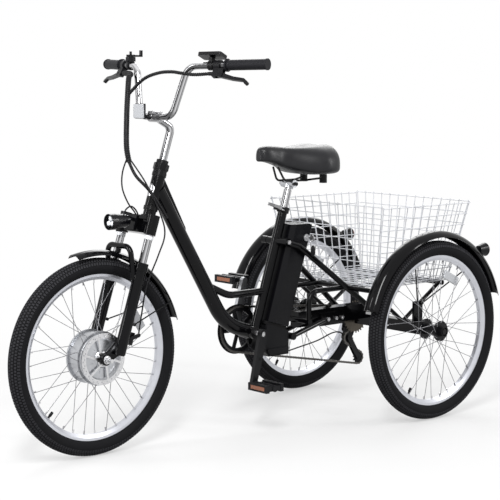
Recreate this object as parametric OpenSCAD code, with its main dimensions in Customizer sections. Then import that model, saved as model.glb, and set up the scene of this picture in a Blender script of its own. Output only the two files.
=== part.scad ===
// Adult tricycle with a front hub motor, a rear basket and a chain drive to one rear wheel.
// Sizes in mm. Ground at z = 0, forward along +x, the rider's left along +y.

/* [Wheels] */
// distance from the rear axle to the front axle
wheelbase = 1180; // [1160:5:1210]
// distance between the middle planes of the rear wheels
track = 664; // [652:2:690]
// outside radius of the tyres
tyre_r = 305; // [300:1:310]
// width of a tyre
tyre_w = 52; // [48:1:54]
// thickness of the tyre wall
tyre_wall = 3.5; // [2.5:0.5:5]
// width over the rim flanges
rim_w = 29; // [27:1:31]
// depth of a rim towards the hub
rim_depth = 24; // [20:1:27]
// diameter of a spoke
spoke_d = 2; // [1.8:0.1:2.4]
// radius of the rear hub flanges
hub_r = 35; // [32:1:38]
// distance between the rear hub flanges
hub_w = 66; // [62:1:68]
// radius of the rear axles
axle_r = 10; // [9:0.5:10.5]
// radius of the motor drum
motor_r = 78; // [74:1:82]
// half width of the motor casing
motor_half = 46; // [45:0.5:47]
// radius of the front axle
front_axle_r = 6; // [5.5:0.5:7]
// half length of the front axle
front_axle_half = 92; // [90:1:98]
// radius of the brake disc
rotor_r = 80; // [76:1:82]

/* [Fenders] */
// room between a rear tyre and the crown of its fender
fender_room = 33; // [29:1:36]
// room between the front tyre and the crown of its fender
front_fender_room = 24; // [20:1:26]
// width of a rear fender
fender_w = 64; // [60:1:68]
// width of the front fender
front_fender_w = 58; // [56:1:62]
// sheet thickness of the fenders
fender_t = 1.6; // [1.2:0.2:2.4]

/* [Fork and handlebar] */
// lean of the steering axis from upright, in degrees
head_rake = 18; // [16:0.5:20]
// length of the head tube
head_len = 98; // [92:1:104]
// diameter of the head tube
head_d = 42; // [40:0.5:44]
// distance from the middle of the head tube down to the front axle
fork_len = 546; // [540:1:556]
// distance of the front axle ahead of the steering axis
axle_lead = 71; // [66:1:76]
// distance of the fork legs ahead of the steering axis
leg_lead = 34; // [32:1:38]
// distance between the middles of the fork legs
leg_gap = 140; // [138:1:146]
// diameter of the lower legs
leg_d = 37; // [35:0.5:38]
// diameter of the stanchions
stanchion_d = 25.4; // [24:0.2:25.6]
// height of the handlebar clamp above the head tube middle
stem_up = 223; // [215:1:235]
// distance of the handlebar clamp ahead of the steering axis
stem_out = 69; // [62:1:76]
// diameter of the handlebar
bar_d = 22.2; // [21.6:0.2:22.4]
// width over the ends of the handlebar
bar_w = 788; // [770:2:800]
// height of the grips above the handlebar clamp
bar_rise = 163; // [150:1:170]
// distance of the bar ends behind the handlebar clamp
bar_sweep = 109; // [100:1:118]
// length of a grip
grip_len = 140; // [130:1:144]
// diameter of a grip
grip_d = 32; // [30:0.5:34]

/* [Frame] */
// distance of the bottom bracket ahead of the rear axle
bb_x = 549; // [540:1:558]
// height of the bottom bracket above the rear axle
bb_up = 11; // [6:1:14]
// lean of the seat tube from upright, in degrees
seat_tilt = 17.5; // [17:0.25:18]
// length of the seat tube
seat_len = 421; // [412:1:430]
// diameter of the down tube
down_d = 48; // [46:0.5:50]
// diameter of the seat tube
seat_d = 32; // [31:0.2:33]
// diameter of the cross tube
cross_d = 24; // [22:0.5:26]
// side of the square axle beams
beam = 40; // [39:0.5:42]
// height of the basket carrier above the rear axle
carrier_up = 133; // [126:1:140]
// diameter of the carrier tubes
carrier_d = 18; // [16:0.5:20]

/* [Drive] */
// length of a crank arm
crank_len = 166; // [160:1:170]
// turn of the left crank arm forward of straight down, in degrees
crank_turn = 14; // [5:1:20]
// distance of the chain from the middle plane
chain_y = 52; // [51.6:0.2:52.6]
// width of a pedal
pedal_w = 98; // [90:1:104]
// length of a pedal
pedal_l = 76; // [70:1:80]

/* [Saddle and battery] */
// diameter of the seatpost
post_d = 27.2; // [26.8:0.1:27.4]
// length of seatpost out of the seat tube
post_out = 75; // [70:1:85]
// length of the saddle
saddle_l = 304; // [294:1:314]
// width of the saddle
saddle_w = 246; // [236:1:256]
// width of the battery
battery_w = 78; // [74:1:80]
// depth of the battery behind the seat tube
battery_deep = 100; // [94:1:104]
// length of the battery along the seat tube
battery_len = 345; // [335:1:348]

/* [Basket] */
// length of the basket at its top
basket_l = 446; // [430:2:456]
// width of the basket at its top
basket_w = 556; // [540:2:566]
// height of the basket walls along their slope
basket_h = 283; // [270:1:292]
// length of the basket floor
floor_l = 372; // [360:2:380]
// width of the basket floor
floor_w = 432; // [420:2:440]
// diameter of the basket wire
wire_d = 3.2; // [2.8:0.1:3.6]

/* [Clearances] */
// radial clearance of turning and sliding fits
fit = 0.05; // [0.03:0.01:0.08]
// gap between pieces that face each other
gap = 0.3; // [0.25:0.05:0.4]

/* [Hidden] */
$fn = 64;
half_track = track / 2;
fender_r = tyre_r + fender_room + fender_t;
front_fender_r = tyre_r + front_fender_room + fender_t;
fender_back = 163;
origin_x = -(wheelbase + tyre_r - fender_r * cos(180 - fender_back)) / 2;
rim_r = tyre_r - tyre_w + 11;
rim_in = rim_r - rim_depth;
fork_x = wheelbase - axle_lead * cos(head_rake) - fork_len * sin(head_rake);
fork_z = fork_len * cos(head_rake) - axle_lead * sin(head_rake);
seat_foot = [bb_x - 29, 0, bb_up + 4];
steerer_r = 12.7;
quill_r = 11.1;
bar_r = bar_d / 2;
bb_r = 20.5;
bb_half = 34;
spindle_r = 8.5;
arm_y = 64;
arm_t = 14;
pitch = 12.7;
ring_teeth = 38;
cog_teeth = [14, 16, 18, 20, 22, 24, 28];
cog_step = 4.6;
ring_pr = pitch / (2 * sin(180 / ring_teeth));
cog_pr = pitch / (2 * sin(180 / cog_teeth[3]));
jockey_pr = pitch / (2 * sin(180 / 11));
jockey_a = [22, -75];
jockey_b = [-28, -153];
pedal_left_at = [bb_x + crank_len * sin(crank_turn), bb_up - crank_len * cos(crank_turn)];
pedal_right_at = [2 * bb_x - pedal_left_at[0], 2 * bb_up - pedal_left_at[1]];
bearing_r = 16;
basket_x = -21;
floor_z = carrier_up + carrier_d / 2 + gap + wire_d / 2;
bar_elbow = [0, 80, 0];
bar_top = [-0.24 * bar_sweep, 128, bar_rise - 6];
bar_end = [-bar_sweep, bar_w / 2, bar_rise];
grip_dir = (bar_end - bar_top) / norm(bar_end - bar_top);

// Places

module at_axle() {
  translate([origin_x, 0, tyre_r]) children();
}

module at_front() {
  at_axle() translate([wheelbase, 0, 0]) children();
}

// z along the steering axis, x ahead of it, origin at the middle of the head tube
module fork_space() {
  at_axle() translate([fork_x, 0, fork_z]) rotate([0, -head_rake, 0]) children();
}

// z along the seat tube, x ahead of it, origin at the top of the seat tube
module seat_space() {
  at_axle() translate(seat_at(seat_len)) rotate([0, -seat_tilt, 0]) children();
}

// upright axes at the head of the seatpost
module saddle_space() {
  at_axle() translate(seat_at(seat_len + post_out)) children();
}

// upright axes at the handlebar clamp
module bar_space() {
  fork_space() translate([stem_out, 0, stem_up]) rotate([0, head_rake, 0]) children();
}

// z outwards along the grip, x down, y towards the rider, origin at the bar end
module grip_space(side) {
  bar_space() mirror([0, side < 0 ? 1 : 0, 0]) translate(bar_end)
    rotate([0, acos(grip_dir[2]), atan2(grip_dir[1], grip_dir[0])]) children();
}

function seat_at(l) = seat_foot + l * [-sin(seat_tilt), 0, cos(seat_tilt)];
function fork_at(p) = [
  fork_x + p[0] * cos(head_rake) - p[2] * sin(head_rake),
  p[1],
  fork_z + p[0] * sin(head_rake) + p[2] * cos(head_rake)
];

// Shapes

function unit(v) = v / norm(v);
function flip(p) = [p[0], -p[1], p[2]];

module mirrored() {
  children();
  mirror([0, 1, 0]) children();
}

module rod(a, b, r) {
  v = b - a;
  translate(a) rotate([0, acos(v[2] / norm(v)), atan2(v[1], v[0])]) cylinder(r = r, h = norm(v));
}

// cylinder along y
module bar_y(p, y0, y1, r) {
  translate([p[0], y1, p[1]]) rotate([90, 0, 0]) cylinder(r = r, h = y1 - y0);
}

// flat shape drawn in x and z, extruded from y0 to y1
module plate_y(y0, y1) {
  translate([0, y1, 0]) rotate([90, 0, 0]) linear_extrude(y1 - y0) children();
}

// profile in radius and width, turned about the y axis from angle a0 to a1
module arc_y(a0, a1) {
  rotate([90, 0, 0]) rotate([0, 0, a0]) rotate_extrude(angle = a1 - a0) children();
}

module turn_y() {
  rotate([90, 0, 0]) rotate_extrude() children();
}

// flat bar with round ends between two points
module link2d(a, b, r) {
  v = b - a;
  translate(a) circle(r = r);
  translate(b) circle(r = r);
  translate(a) rotate(atan2(v[1], v[0])) translate([0, 0.1 - r]) square([norm(v), 2 * r - 0.2]);
}

// flat arm that narrows from ra to rb
module taper2d(a, b, ra, rb) {
  v = b - a;
  l = norm(v);
  s = (ra - rb) / l;
  c = sqrt(1 - s * s);
  translate(a) circle(r = ra);
  translate(b) circle(r = rb);
  translate(a) rotate(atan2(v[1], v[0]))
    polygon([[ra * s, -ra * c], [l + rb * s, -rb * c], [l + rb * s, rb * c], [ra * s, ra * c]]);
}

// strip through points that each carry a half width, moved to a place
module strip2d(p, at) {
  translate(at) {
    for (q = p) translate([q[0], q[1]]) circle(r = q[2]);
    for (i = [0 : len(p) - 2]) {
      a = [p[i][0], p[i][1]];
      b = [p[i + 1][0], p[i + 1][1]];
      n = [a[1] - b[1], b[0] - a[0]] / norm(b - a);
      polygon([a - n * (p[i][2] - 0.1), b - n * (p[i + 1][2] - 0.1), b + n * (p[i + 1][2] - 0.1),
        a + n * (p[i][2] - 0.1)]);
    }
  }
}

module rounded2d(w, h, r) {
  square([w, h - 2 * r], center = true);
  square([w - 2 * r, h], center = true);
  for (x = [-1, 1], y = [-1, 1]) translate([x * (w / 2 - r), y * (h / 2 - r)]) circle(r = r);
}

// tube along points, with a bend of the given radius at every inner point
function cut_back(p, i, bend) = (i == 0 || i == len(p) - 1) ? 0 :
  let (u = unit(p[i] - p[i - 1]), w = unit(p[i + 1] - p[i])) bend * tan(acos(u * w) / 2);

module elbow(a, p, b, r, bend) {
  u = unit(p - a);
  w = unit(b - p);
  turn = acos(u * w);
  centre = p + unit(w - u) * bend / cos(turn / 2);
  e1 = unit(p - u * bend * tan(turn / 2) - centre);
  e3 = unit(cross(u, w));
  multmatrix([
    [e1[0], u[0], e3[0], centre[0]],
    [e1[1], u[1], e3[1], centre[1]],
    [e1[2], u[2], e3[2], centre[2]]
  ]) rotate_extrude(angle = turn) translate([bend, 0]) circle(r = r + 0.1);
}

module bent_tube(p, r, bend) {
  for (i = [0 : len(p) - 2]) {
    u = unit(p[i + 1] - p[i]);
    rod(p[i] + u * (cut_back(p, i, bend) - (i == 0 ? 0 : 0.8)),
        p[i + 1] - u * (cut_back(p, i + 1, bend) - (i == len(p) - 2 ? 0 : 0.8)), r);
  }
  for (i = [1 : 1 : len(p) - 2]) elbow(p[i - 1], p[i], p[i + 1], r, bend);
}

// cord swept along a smooth curve through points
function spline(a, b, c, d, t) = 0.5 * (2 * b + (c - a) * t + (2 * a - 5 * b + 4 * c - d) * t * t
  + (3 * b - 3 * c + d - a) * t * t * t);
function smooth(p, k) = [
  for (i = [0 : len(p) - 2], j = [0 : k - 1])
    spline(p[max(i - 1, 0)], p[i], p[i + 1], p[min(i + 2, len(p) - 1)], j / k),
  p[len(p) - 1]
];
function ring_at(p, t, ref, r, n) = let (a = unit(cross(t, ref)), b = cross(a, t))
  [for (i = [0 : n - 1]) p + r * (cos(360 * i / n) * a + sin(360 * i / n) * b)];

module loft(rings) {
  n = len(rings[0]);
  m = len(rings);
  polyhedron(
    points = [for (q = rings, p = q) p],
    faces = concat(
      [[for (i = [n - 1 : -1 : 0]) i]],
      [for (k = [0 : m - 2], i = [0 : n - 1]) [k * n + i, k * n + (i + 1) % n, (k + 1) * n + i]],
      [for (k = [0 : m - 2], i = [0 : n - 1])
        [k * n + (i + 1) % n, (k + 1) * n + (i + 1) % n, (k + 1) * n + i]],
      [[for (i = [0 : n - 1]) (m - 1) * n + i]]
    )
  );
}

module cord(points, r, ref, k = 3, n = 8) {
  q = smooth(points, k);
  m = len(q);
  loft([for (i = [0 : m - 1])
    ring_at(q[i], unit(q[min(i + 1, m - 1)] - q[max(i - 1, 0)]), ref, r, n)]);
}

// Wheels

module tyre() {
  turn_y() difference() {
    translate([tyre_r - tyre_w / 2, 0]) circle(d = tyre_w);
    translate([tyre_r - tyre_w / 2, 0]) circle(d = tyre_w - 2 * tyre_wall);
    translate([tyre_r - 2 * tyre_w, -rim_w / 2 - gap])
      square([2 * tyre_w - tyre_r + rim_r + gap, rim_w + 2 * gap]);
  }
}

module rim() {
  w = rim_w / 2;
  turn_y() polygon([
    [rim_in, -w / 2], [rim_r - 0.6 * rim_depth, -w + 1.5], [rim_r, -w], [rim_r, -w + 2],
    [rim_r - 9, -w + 3.5], [rim_r - 9, w - 3.5], [rim_r, w - 2], [rim_r, w],
    [rim_r - 0.6 * rim_depth, w - 1.5], [rim_in, w / 2]
  ]);
}

// spokes from two flanges: every second one lies on the outer face of its flange
module spokes(r_hub, y_hub, flange_t, lean, out) {
  off = flange_t / 2 + gap + spoke_d / 2;
  for (side = [0, 1], j = [0 : 17]) {
    a = 20 * j + 10 * side;
    b = a + (j % 2 == 0 ? lean : -lean);
    s = side == 0 ? 1 : -1;
    y = s * (y_hub + (j % 2 == 0 ? off + out : -off));
    rod([r_hub * cos(a), y, r_hub * sin(a)],
        [(rim_in - 0.8) * cos(b), s * 2.6, (rim_in - 0.8) * sin(b)], spoke_d / 2);
  }
}

module rear_hub() {
  difference() {
    union() {
      bar_y([0, 0], -hub_w / 2 - 10, hub_w / 2 + 8, 19);
      for (s = [-1, 1]) bar_y([0, 0], s * hub_w / 2 - 2, s * hub_w / 2 + 2, hub_r);
      bar_y([0, 0], hub_w / 2 + 8 - 0.5, hub_w / 2 + 20, 16);
    }
    bar_y([0, 0], -hub_w, hub_w, axle_r + fit);
    bar_y([0, 0], hub_w / 2 + 6, hub_w, 14.5);
  }
}

// axle nut at the outer end of a rear axle, measured from the wheel's middle plane
module axle_nut() {
  translate([0, hub_w / 2 + 15, 0]) rotate([90, 0, 0]) cylinder(r = 13, h = 8.7, $fn = 6);
}

module left_wheel() {
  at_axle() translate([0, half_track, 0]) children();
}

module right_wheel() {
  at_axle() mirror([0, 1, 0]) translate([0, half_track, 0]) children();
}

module tyre_left() { color("#2a2a2a") left_wheel() tyre(); }
module rim_left() { color("silver") left_wheel() rim(); }
module spokes_left() { color("gainsboro") left_wheel() spokes(hub_r - 5, hub_w / 2, 4, 60, 1.7); }
module hub_left() { color("#202020") left_wheel() rear_hub(); }
module tyre_right() { color("#2a2a2a") right_wheel() tyre(); }
module rim_right() { color("silver") right_wheel() rim(); }
module spokes_right() { color("gainsboro") right_wheel() spokes(hub_r - 5, hub_w / 2, 4, 60, 1.7); }
module hub_right() { color("#202020") right_wheel() rear_hub(); }
module tyre_front() { color("#2a2a2a") at_front() tyre(); }
module rim_front() { color("silver") at_front() rim(); }
module spokes_front() { color("gainsboro") at_front() spokes(motor_r + 2, 27, 6, 20, 0.8); }

module axle_left() {
  color("lightgray") {
    at_axle() bar_y([0, 0], 26, half_track + hub_w / 2 + 19, axle_r);
    left_wheel() axle_nut();
  }
}

module drive_axle() {
  color("lightgray") {
    at_axle() bar_y([0, 0], -half_track - hub_w / 2 - 19, -28, axle_r);
    at_axle() translate([0, -28, 0]) rotate([90, 0, 0]) cylinder(r = 14, h = 5, $fn = 6);
    right_wheel() axle_nut();
  }
}

module hub_motor() {
  h = motor_half;
  color("#303030") at_front() difference() {
    union() {
      turn_y() polygon([
        [0, -h], [24, -h], [28, -h + 5], [60, -h + 8], [motor_r - 4, -h + 15], [motor_r, -h + 18],
        [motor_r, h - 18], [motor_r - 4, h - 15], [60, h - 8], [28, h - 5], [24, h], [0, h]
      ]);
      for (s = [-1, 1]) bar_y([0, 0], s * 27 - 3, s * 27 + 3, motor_r + 6);
    }
    bar_y([0, 0], -h - 1, h + 1, front_axle_r + fit);
    for (s = [-1, 1], a = [0 : 30 : 330]) rotate([0, a + 15, 0])
      translate([48, s * (h - 4.3), 0]) cube([22, 6, 3], center = true);
  }
}

module brake_rotor() {
  color("lightgray") at_front() plate_y(motor_half + fit, motor_half + fit + 2) difference() {
    union() {
      difference() {
        circle(r = rotor_r);
        circle(r = rotor_r - 15);
        for (a = [0 : 15 : 345]) rotate(a) {
          translate([rotor_r - 4.5, 0]) circle(d = 4);
          rotate(5) translate([rotor_r - 9, 0]) circle(d = 4);
        }
      }
      for (a = [0 : 60 : 300]) rotate(a) link2d([20, 0], [rotor_r - 13, 18], 3.5);
      circle(r = 24);
    }
    circle(r = 15);
    for (a = [0 : 60 : 300]) rotate(a + 30) translate([20, 0]) circle(d = 4);
  }
}

module front_axle() {
  color("gray") at_front() {
    bar_y([0, 0], -front_axle_half, front_axle_half, front_axle_r);
    mirrored() {
      bar_y([0, 0], motor_half + 3, drop_y - 4 - gap, front_axle_r + 4);
      translate([0, drop_y + 4 + gap + 10, 0]) rotate([90, 0, 0])
        cylinder(r = front_axle_r + 5, h = 10, $fn = 6);
      bar_y([0, 0], drop_y + 4 + gap, drop_y + 7, front_axle_r + 7);
    }
  }
}

// Fork

drop_y = leg_gap / 2 - 10;
leg_top = 313 - fork_len;
leg_foot = 25 - fork_len;
crown_top = -head_len / 2 - 28;
crown_foot = crown_top - 67;
brace_up = 351 - fork_len;

module fork_crown() {
  color("#252525") fork_space() {
    translate([0, 0, crown_top - 20]) cylinder(r = 20, h = -crown_top + 20 - head_len / 2 - 12 - 2 * gap);
    difference() {
      translate([0, 0, crown_top - 5]) cylinder(r = steerer_r, h = 100 - crown_top + 5);
      translate([0, 0, -60]) cylinder(r = quill_r + fit, h = 200);
    }
    translate([0, 0, crown_foot + 6]) cylinder(r = 25, h = crown_top - crown_foot - 8);
    difference() {
      union() {
        for (s = [-1, 1]) translate([leg_lead, s * leg_gap / 2, crown_foot])
          cylinder(r = stanchion_d / 2 + 6, h = crown_top - crown_foot - 4);
        translate([leg_lead - 16, -leg_gap / 2, crown_foot + 3])
          cube([32, leg_gap, crown_top - crown_foot - 12]);
        translate([0, -22, crown_foot + 10]) cube([leg_lead, 44, crown_top - crown_foot - 22]);
      }
      for (s = [-1, 1]) translate([leg_lead + 16, s * 36, (crown_top + crown_foot) / 2])
        cube([18, 44, 26], center = true);
    }
    for (s = [-1, 1]) translate([leg_lead, s * leg_gap / 2, leg_top - 150])
      cylinder(d = stanchion_d, h = crown_foot - leg_top + 160);
  }
}

module fork_lowers() {
  color("#1c1c1c") {
    fork_space() difference() {
      union() {
        for (s = [-1, 1]) {
          translate([leg_lead, s * leg_gap / 2, leg_foot])
            cylinder(d = leg_d, h = leg_top - leg_foot);
          translate([leg_lead, s * leg_gap / 2, leg_top - 26]) cylinder(d = leg_d + 4, h = 26);
          translate([leg_lead, s * leg_gap / 2, leg_foot - 3]) cylinder(d = leg_d - 6, h = 6);
          rod([leg_lead, s * leg_gap / 2, stay_s], [leg_lead - leg_d / 2 - 7, s * leg_gap / 2, stay_s], 5);
        }
        bent_tube([
          [leg_lead + 8, leg_gap / 2 - 4, brace_up - 108], [leg_lead + 50, leg_gap / 2 - 13, brace_up],
          [leg_lead + 50, 13 - leg_gap / 2, brace_up], [leg_lead + 8, 4 - leg_gap / 2, brace_up - 108]
        ], 8.5, 26);
        mirrored() plate_y(drop_y - 4, drop_y + 4) difference() {
          union() {
            translate([axle_lead, -fork_len]) circle(r = 18);
            link2d([leg_lead, leg_foot + 10], [axle_lead, -fork_len], 13);
          }
          translate([axle_lead, -fork_len]) circle(r = front_axle_r + fit);
        }
        plate_y(drop_y - 3, drop_y + 2) difference() {
          link2d(caliper_at, [leg_lead, caliper_at[1] + 8], 9);
          translate(caliper_at) circle(r = 4 + fit);
        }
      }
      for (s = [-1, 1]) translate([leg_lead, s * leg_gap / 2, leg_top - 210])
        cylinder(d = stanchion_d + 2 * fit, h = 240);
    }
  }
}

stay_s = 125 - fork_len;
caliper_at = [leg_lead - 30, leg_foot + 56];

module brake_caliper() {
  color("#404040") fork_space() {
    difference() {
      union() {
        translate([caliper_at[0] - 21, motor_half - 8, caliper_at[1] - 20])
          cube([38, drop_y - 4 - gap - motor_half + 8, 40]);
        bar_y([caliper_at[0] - 6, caliper_at[1] + 6], motor_half - 10, motor_half, 11);
      }
      translate([caliper_at[0] - 30, motor_half - 3, caliper_at[1] - 34]) cube([60, 8, 46]);
    }
    plate_y(drop_y + 2 + gap, drop_y + 6) link2d(caliper_at + [-4, 0], caliper_at + [-30, 16], 6);
    bar_y(caliper_at, drop_y - 12, drop_y + 9, 4);
  }
}

// level of the fender crown under the fork brace
fender_top = sqrt(pow(front_fender_r, 2) - pow(leg_lead + 50 - axle_lead, 2)) - fork_len - 1.2;

module front_fender() {
  color("#161616") {
    at_front() {
      arc_y(76.5, 164) fender_shape(front_fender_r, front_fender_w, 15);
      mirrored() {
        rod([cos(152) * (front_fender_r - 12), sheet_y(front_fender_w, 15, 12),
             sin(152) * (front_fender_r - 12)],
            fork_at([leg_lead - leg_d / 2 - 10, leg_gap / 2, stay_s]) - [wheelbase, 0, 0], 2.2);
      }
    }
    fork_space() {
      translate([leg_lead + 50, 0, fender_top]) cylinder(r = 9, h = brace_up - 8.6 - gap - fender_top);
      mirrored() translate([leg_lead - leg_d / 2 - 13, leg_gap / 2, stay_s])
        rotate([0, 90, 0]) cylinder(r = 5, h = 5.6);
    }
  }
}

// half width of the sheet at a depth below its crown
function sheet_y(w, drop, depth) = let (big = (w * w / 4 + drop * drop) / (2 * drop))
  sqrt(pow(big - fender_t / 2, 2) - pow(big - depth, 2));

// thin curved section, crown at radius r, edges lower by drop
module fender_shape(r, w, drop) {
  big = (w * w / 4 + drop * drop) / (2 * drop);
  intersection() {
    translate([r - big, 0]) difference() {
      circle(r = big);
      circle(r = big - fender_t);
    }
    translate([r - drop, -w]) square([2 * drop, 2 * w]);
  }
}

// Steering

module headset_nut() {
  color("#181818") fork_space() translate([0, 0, head_len / 2 + 12 + gap]) difference() {
    union() {
      cylinder(r = 22, h = 9);
      translate([0, 0, 8.5]) cylinder(r = 25, h = 20, $fn = 8);
      translate([0, 0, 28]) cylinder(r = 19, h = 12);
    }
    translate([0, 0, -1]) cylinder(r = steerer_r + 0.5, h = 60);
  }
}

module stem() {
  color("silver") fork_space() {
    translate([0, 0, -20]) cylinder(r = quill_r, h = 140);
    difference() {
      union() {
        bent_tube([[0, 0, 103], [0, 0, stem_up - 12], [stem_out, 0, stem_up]], 13, 24);
        bar_y([stem_out, stem_up], -24, 24, bar_r + 6);
        translate([stem_out + bar_r - 2, -12, stem_up - 13]) cube([15, 24, 9]);
        translate([stem_out + bar_r - 2, -12, stem_up + 2]) cube([15, 24, 9]);
      }
      bar_y([stem_out, stem_up], -30, 30, bar_r + fit);
    }
    translate([stem_out + bar_r + 7, 0, stem_up - 16]) cylinder(r = 3, h = 30);
  }
}

module handlebar() {
  color("silver") bar_space() bent_tube([
    flip(bar_end), flip(bar_top), flip(bar_elbow), bar_elbow, bar_top, bar_end
  ], bar_r, 44);
}

module grip(side) {
  grip_space(side) difference() {
    union() {
      translate([0, 0, -grip_len]) cylinder(d = grip_d, h = grip_len + 4);
      translate([0, 0, -grip_len]) cylinder(d = grip_d + 8, h = 5);
      translate([0, 0, -1]) cylinder(d = grip_d + 3, h = 5);
    }
    translate([0, 0, -grip_len - 1]) cylinder(r = bar_r + fit, h = grip_len + 1 + gap);
  }
}

module grips() {
  color("#1b1b1b") {
    grip(1);
    grip(-1);
  }
}

module display() {
  color("#151515") grip_space(1) translate([0, 0, -grip_len - 62]) {
    difference() {
      union() {
        cylinder(r = bar_r + 4, h = 18);
        translate([-bar_r - 14, -9, 3]) cube([14, 18, 12]);
      }
      translate([0, 0, -1]) cylinder(r = bar_r + fit, h = 20);
    }
    translate([-bar_r - 18.5, 4, 9]) rotate([0, 90, 0]) rotate([20, 0, 0])
      linear_extrude(11, center = true) rounded2d(82, 44, 7);
  }
}

perch_z = -grip_len - 40;
pivot_x = 32;
pivot_z = -grip_len - 18;
lever_lean = -28;

module perch(side) {
  grip_space(side) rotate([0, 0, lever_lean]) difference() {
    union() {
      translate([0, 0, perch_z]) cylinder(r = bar_r + 5, h = 22);
      translate([bar_r + 1, -8, perch_z]) cube([pivot_x + 8 - bar_r - 1, 16, 36]);
      translate([pivot_x - 4, 0, perch_z - 16]) cylinder(r = 6, h = 20);
    }
    translate([0, 0, perch_z - 20]) cylinder(r = bar_r + fit, h = 60);
    translate([bar_r + 6, -5 - gap, pivot_z - 12]) cube([60, 10 + 2 * gap, 60]);
  }
  grip_space(side) rotate([0, 0, lever_lean]) translate([pivot_x, -9, pivot_z])
    rotate([-90, 0, 0]) cylinder(r = 3, h = 18);
}

module bar_perches() {
  color("#1d1d1d") {
    perch(1);
    perch(-1);
    grip_space(-1) translate([0, 0, perch_z - 46]) {
      difference() {
        union() {
          cylinder(r = bar_r + 4, h = 18);
          translate([-bar_r - 16, 0, 9]) rotate([0, 90, 0]) cylinder(r = 16, h = 14);
        }
        translate([0, 0, -8]) cylinder(r = bar_r + fit, h = 40);
      }
      translate([-bar_r - 34, 0, 9]) rotate([0, 90, 0]) cylinder(r = 4, h = 20);
    }
  }
}

module lever(side) {
  grip_space(side) rotate([0, 0, lever_lean]) difference() {
    union() {
      translate([0, 5, 0]) rotate([90, 0, 0]) linear_extrude(10) {
        strip2d([[0, 0, 8], [14, 52, 5.6], [20, 92, 5], [30, 104, 6]], [pivot_x, pivot_z]);
      }
    }
    translate([pivot_x, -20, pivot_z]) rotate([-90, 0, 0]) cylinder(r = 3 + fit, h = 40);
  }
}

module brake_lever_left() { color("#1f1f1f") lever(1); }
module brake_lever_right() { color("#1f1f1f") lever(-1); }

module thumb_shifter() {
  color("#3a3a3a") grip_space(-1) translate([0, 0, perch_z - 37]) difference() {
    union() {
      translate([-bar_r - 24, 0, 0]) rotate([0, 90, 0]) cylinder(r = 14, h = 8 - gap);
      translate([-bar_r - 23, -6, -8]) cube([6, 44, 16]);
      translate([-bar_r - 38, 32, -8]) cube([19, 6, 16]);
    }
    translate([-60, 0, 0]) rotate([0, 90, 0]) cylinder(r = 4 + fit, h = 50);
  }
}

module headlight() {
  color("#1a1a1a") fork_space() {
    rotate([0, head_rake, 0]) translate([lamp_back, 0, lamp_up]) rotate([0, 90, 0]) {
      cylinder(r = 17, h = 12);
      translate([0, 0, 11]) cylinder(r1 = 21, r2 = 25, h = 40);
      translate([0, 0, 50]) difference() {
        cylinder(r = 25, h = 22);
        translate([0, 0, 8]) cylinder(r = 22.5, h = 20);
      }
    }
    rotate([0, head_rake, 0]) translate([lamp_back + 20, -9, lamp_up - 31]) cube([18, 18, 13]);
    translate([leg_lead + 16 + gap, -12, crown_foot + 8]) cube([5, 24, 46]);
    translate([leg_lead + 16 + gap, -9, crown_foot + 34]) cube([lamp_back - 60, 18, 10]);
  }
}

lamp_back = 108;
lamp_up = -85;

module cable_loom() {
  color("#141414") at_axle() {
    cord([
      [902.2, -210.9, 864.8], [924, -150, 862], [960, -112, 850], [986, -84, 796], [1008, -60, 728],
      [1024, -40, 640], [1020, -32, 590]
    ] + shift_all(7), 9, [0, 1, 0.2], 3, 10);
    cord([
      [902.2, 210.9, 864.8], [922, 165, 862], [938, 125, 866], [942, 80, 870], [946, 20, 866],
      [958, -40, 846], [986, -84, 796]
    ] + shift_all(7), 5.5, [1, 0, 0.1], 3, 8);
    cord([
      [1022, -36, 600], [1012, -10, 550], [984, 22, 505], [946, 30, 452], [920, 30, 414]
    ] + shift_all(5),
      5, [0, 1, 0.2], 3, 8);
    cord([[1022, -36, 610], [1040, -36, 560], [1046, -24, 510], [1030, -8, 462]] + shift_all(4),
      2.4, [0, 1, 0.2], 3, 8);
  }
}

// the loom follows the head tube when the wheelbase or fork changes
function shift_all(n) = [for (i = [1 : n]) [fork_x - 943.755, 0, fork_z - 497.335]];

module front_brake_cable() {
  color("#141414") at_axle() cord([
    [1016, -14, 590], [1000, 34, 520], [974, 68, 430], [968, 80, 370], [1000, 88, 308],
    [1046, 90, 220], [1062, 84, 130], [1058, 64.5, 69]
  ] + shift_all(8), 2.4, [1, 0.3, 0.2], 3, 8);
}

// Main frame

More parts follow.
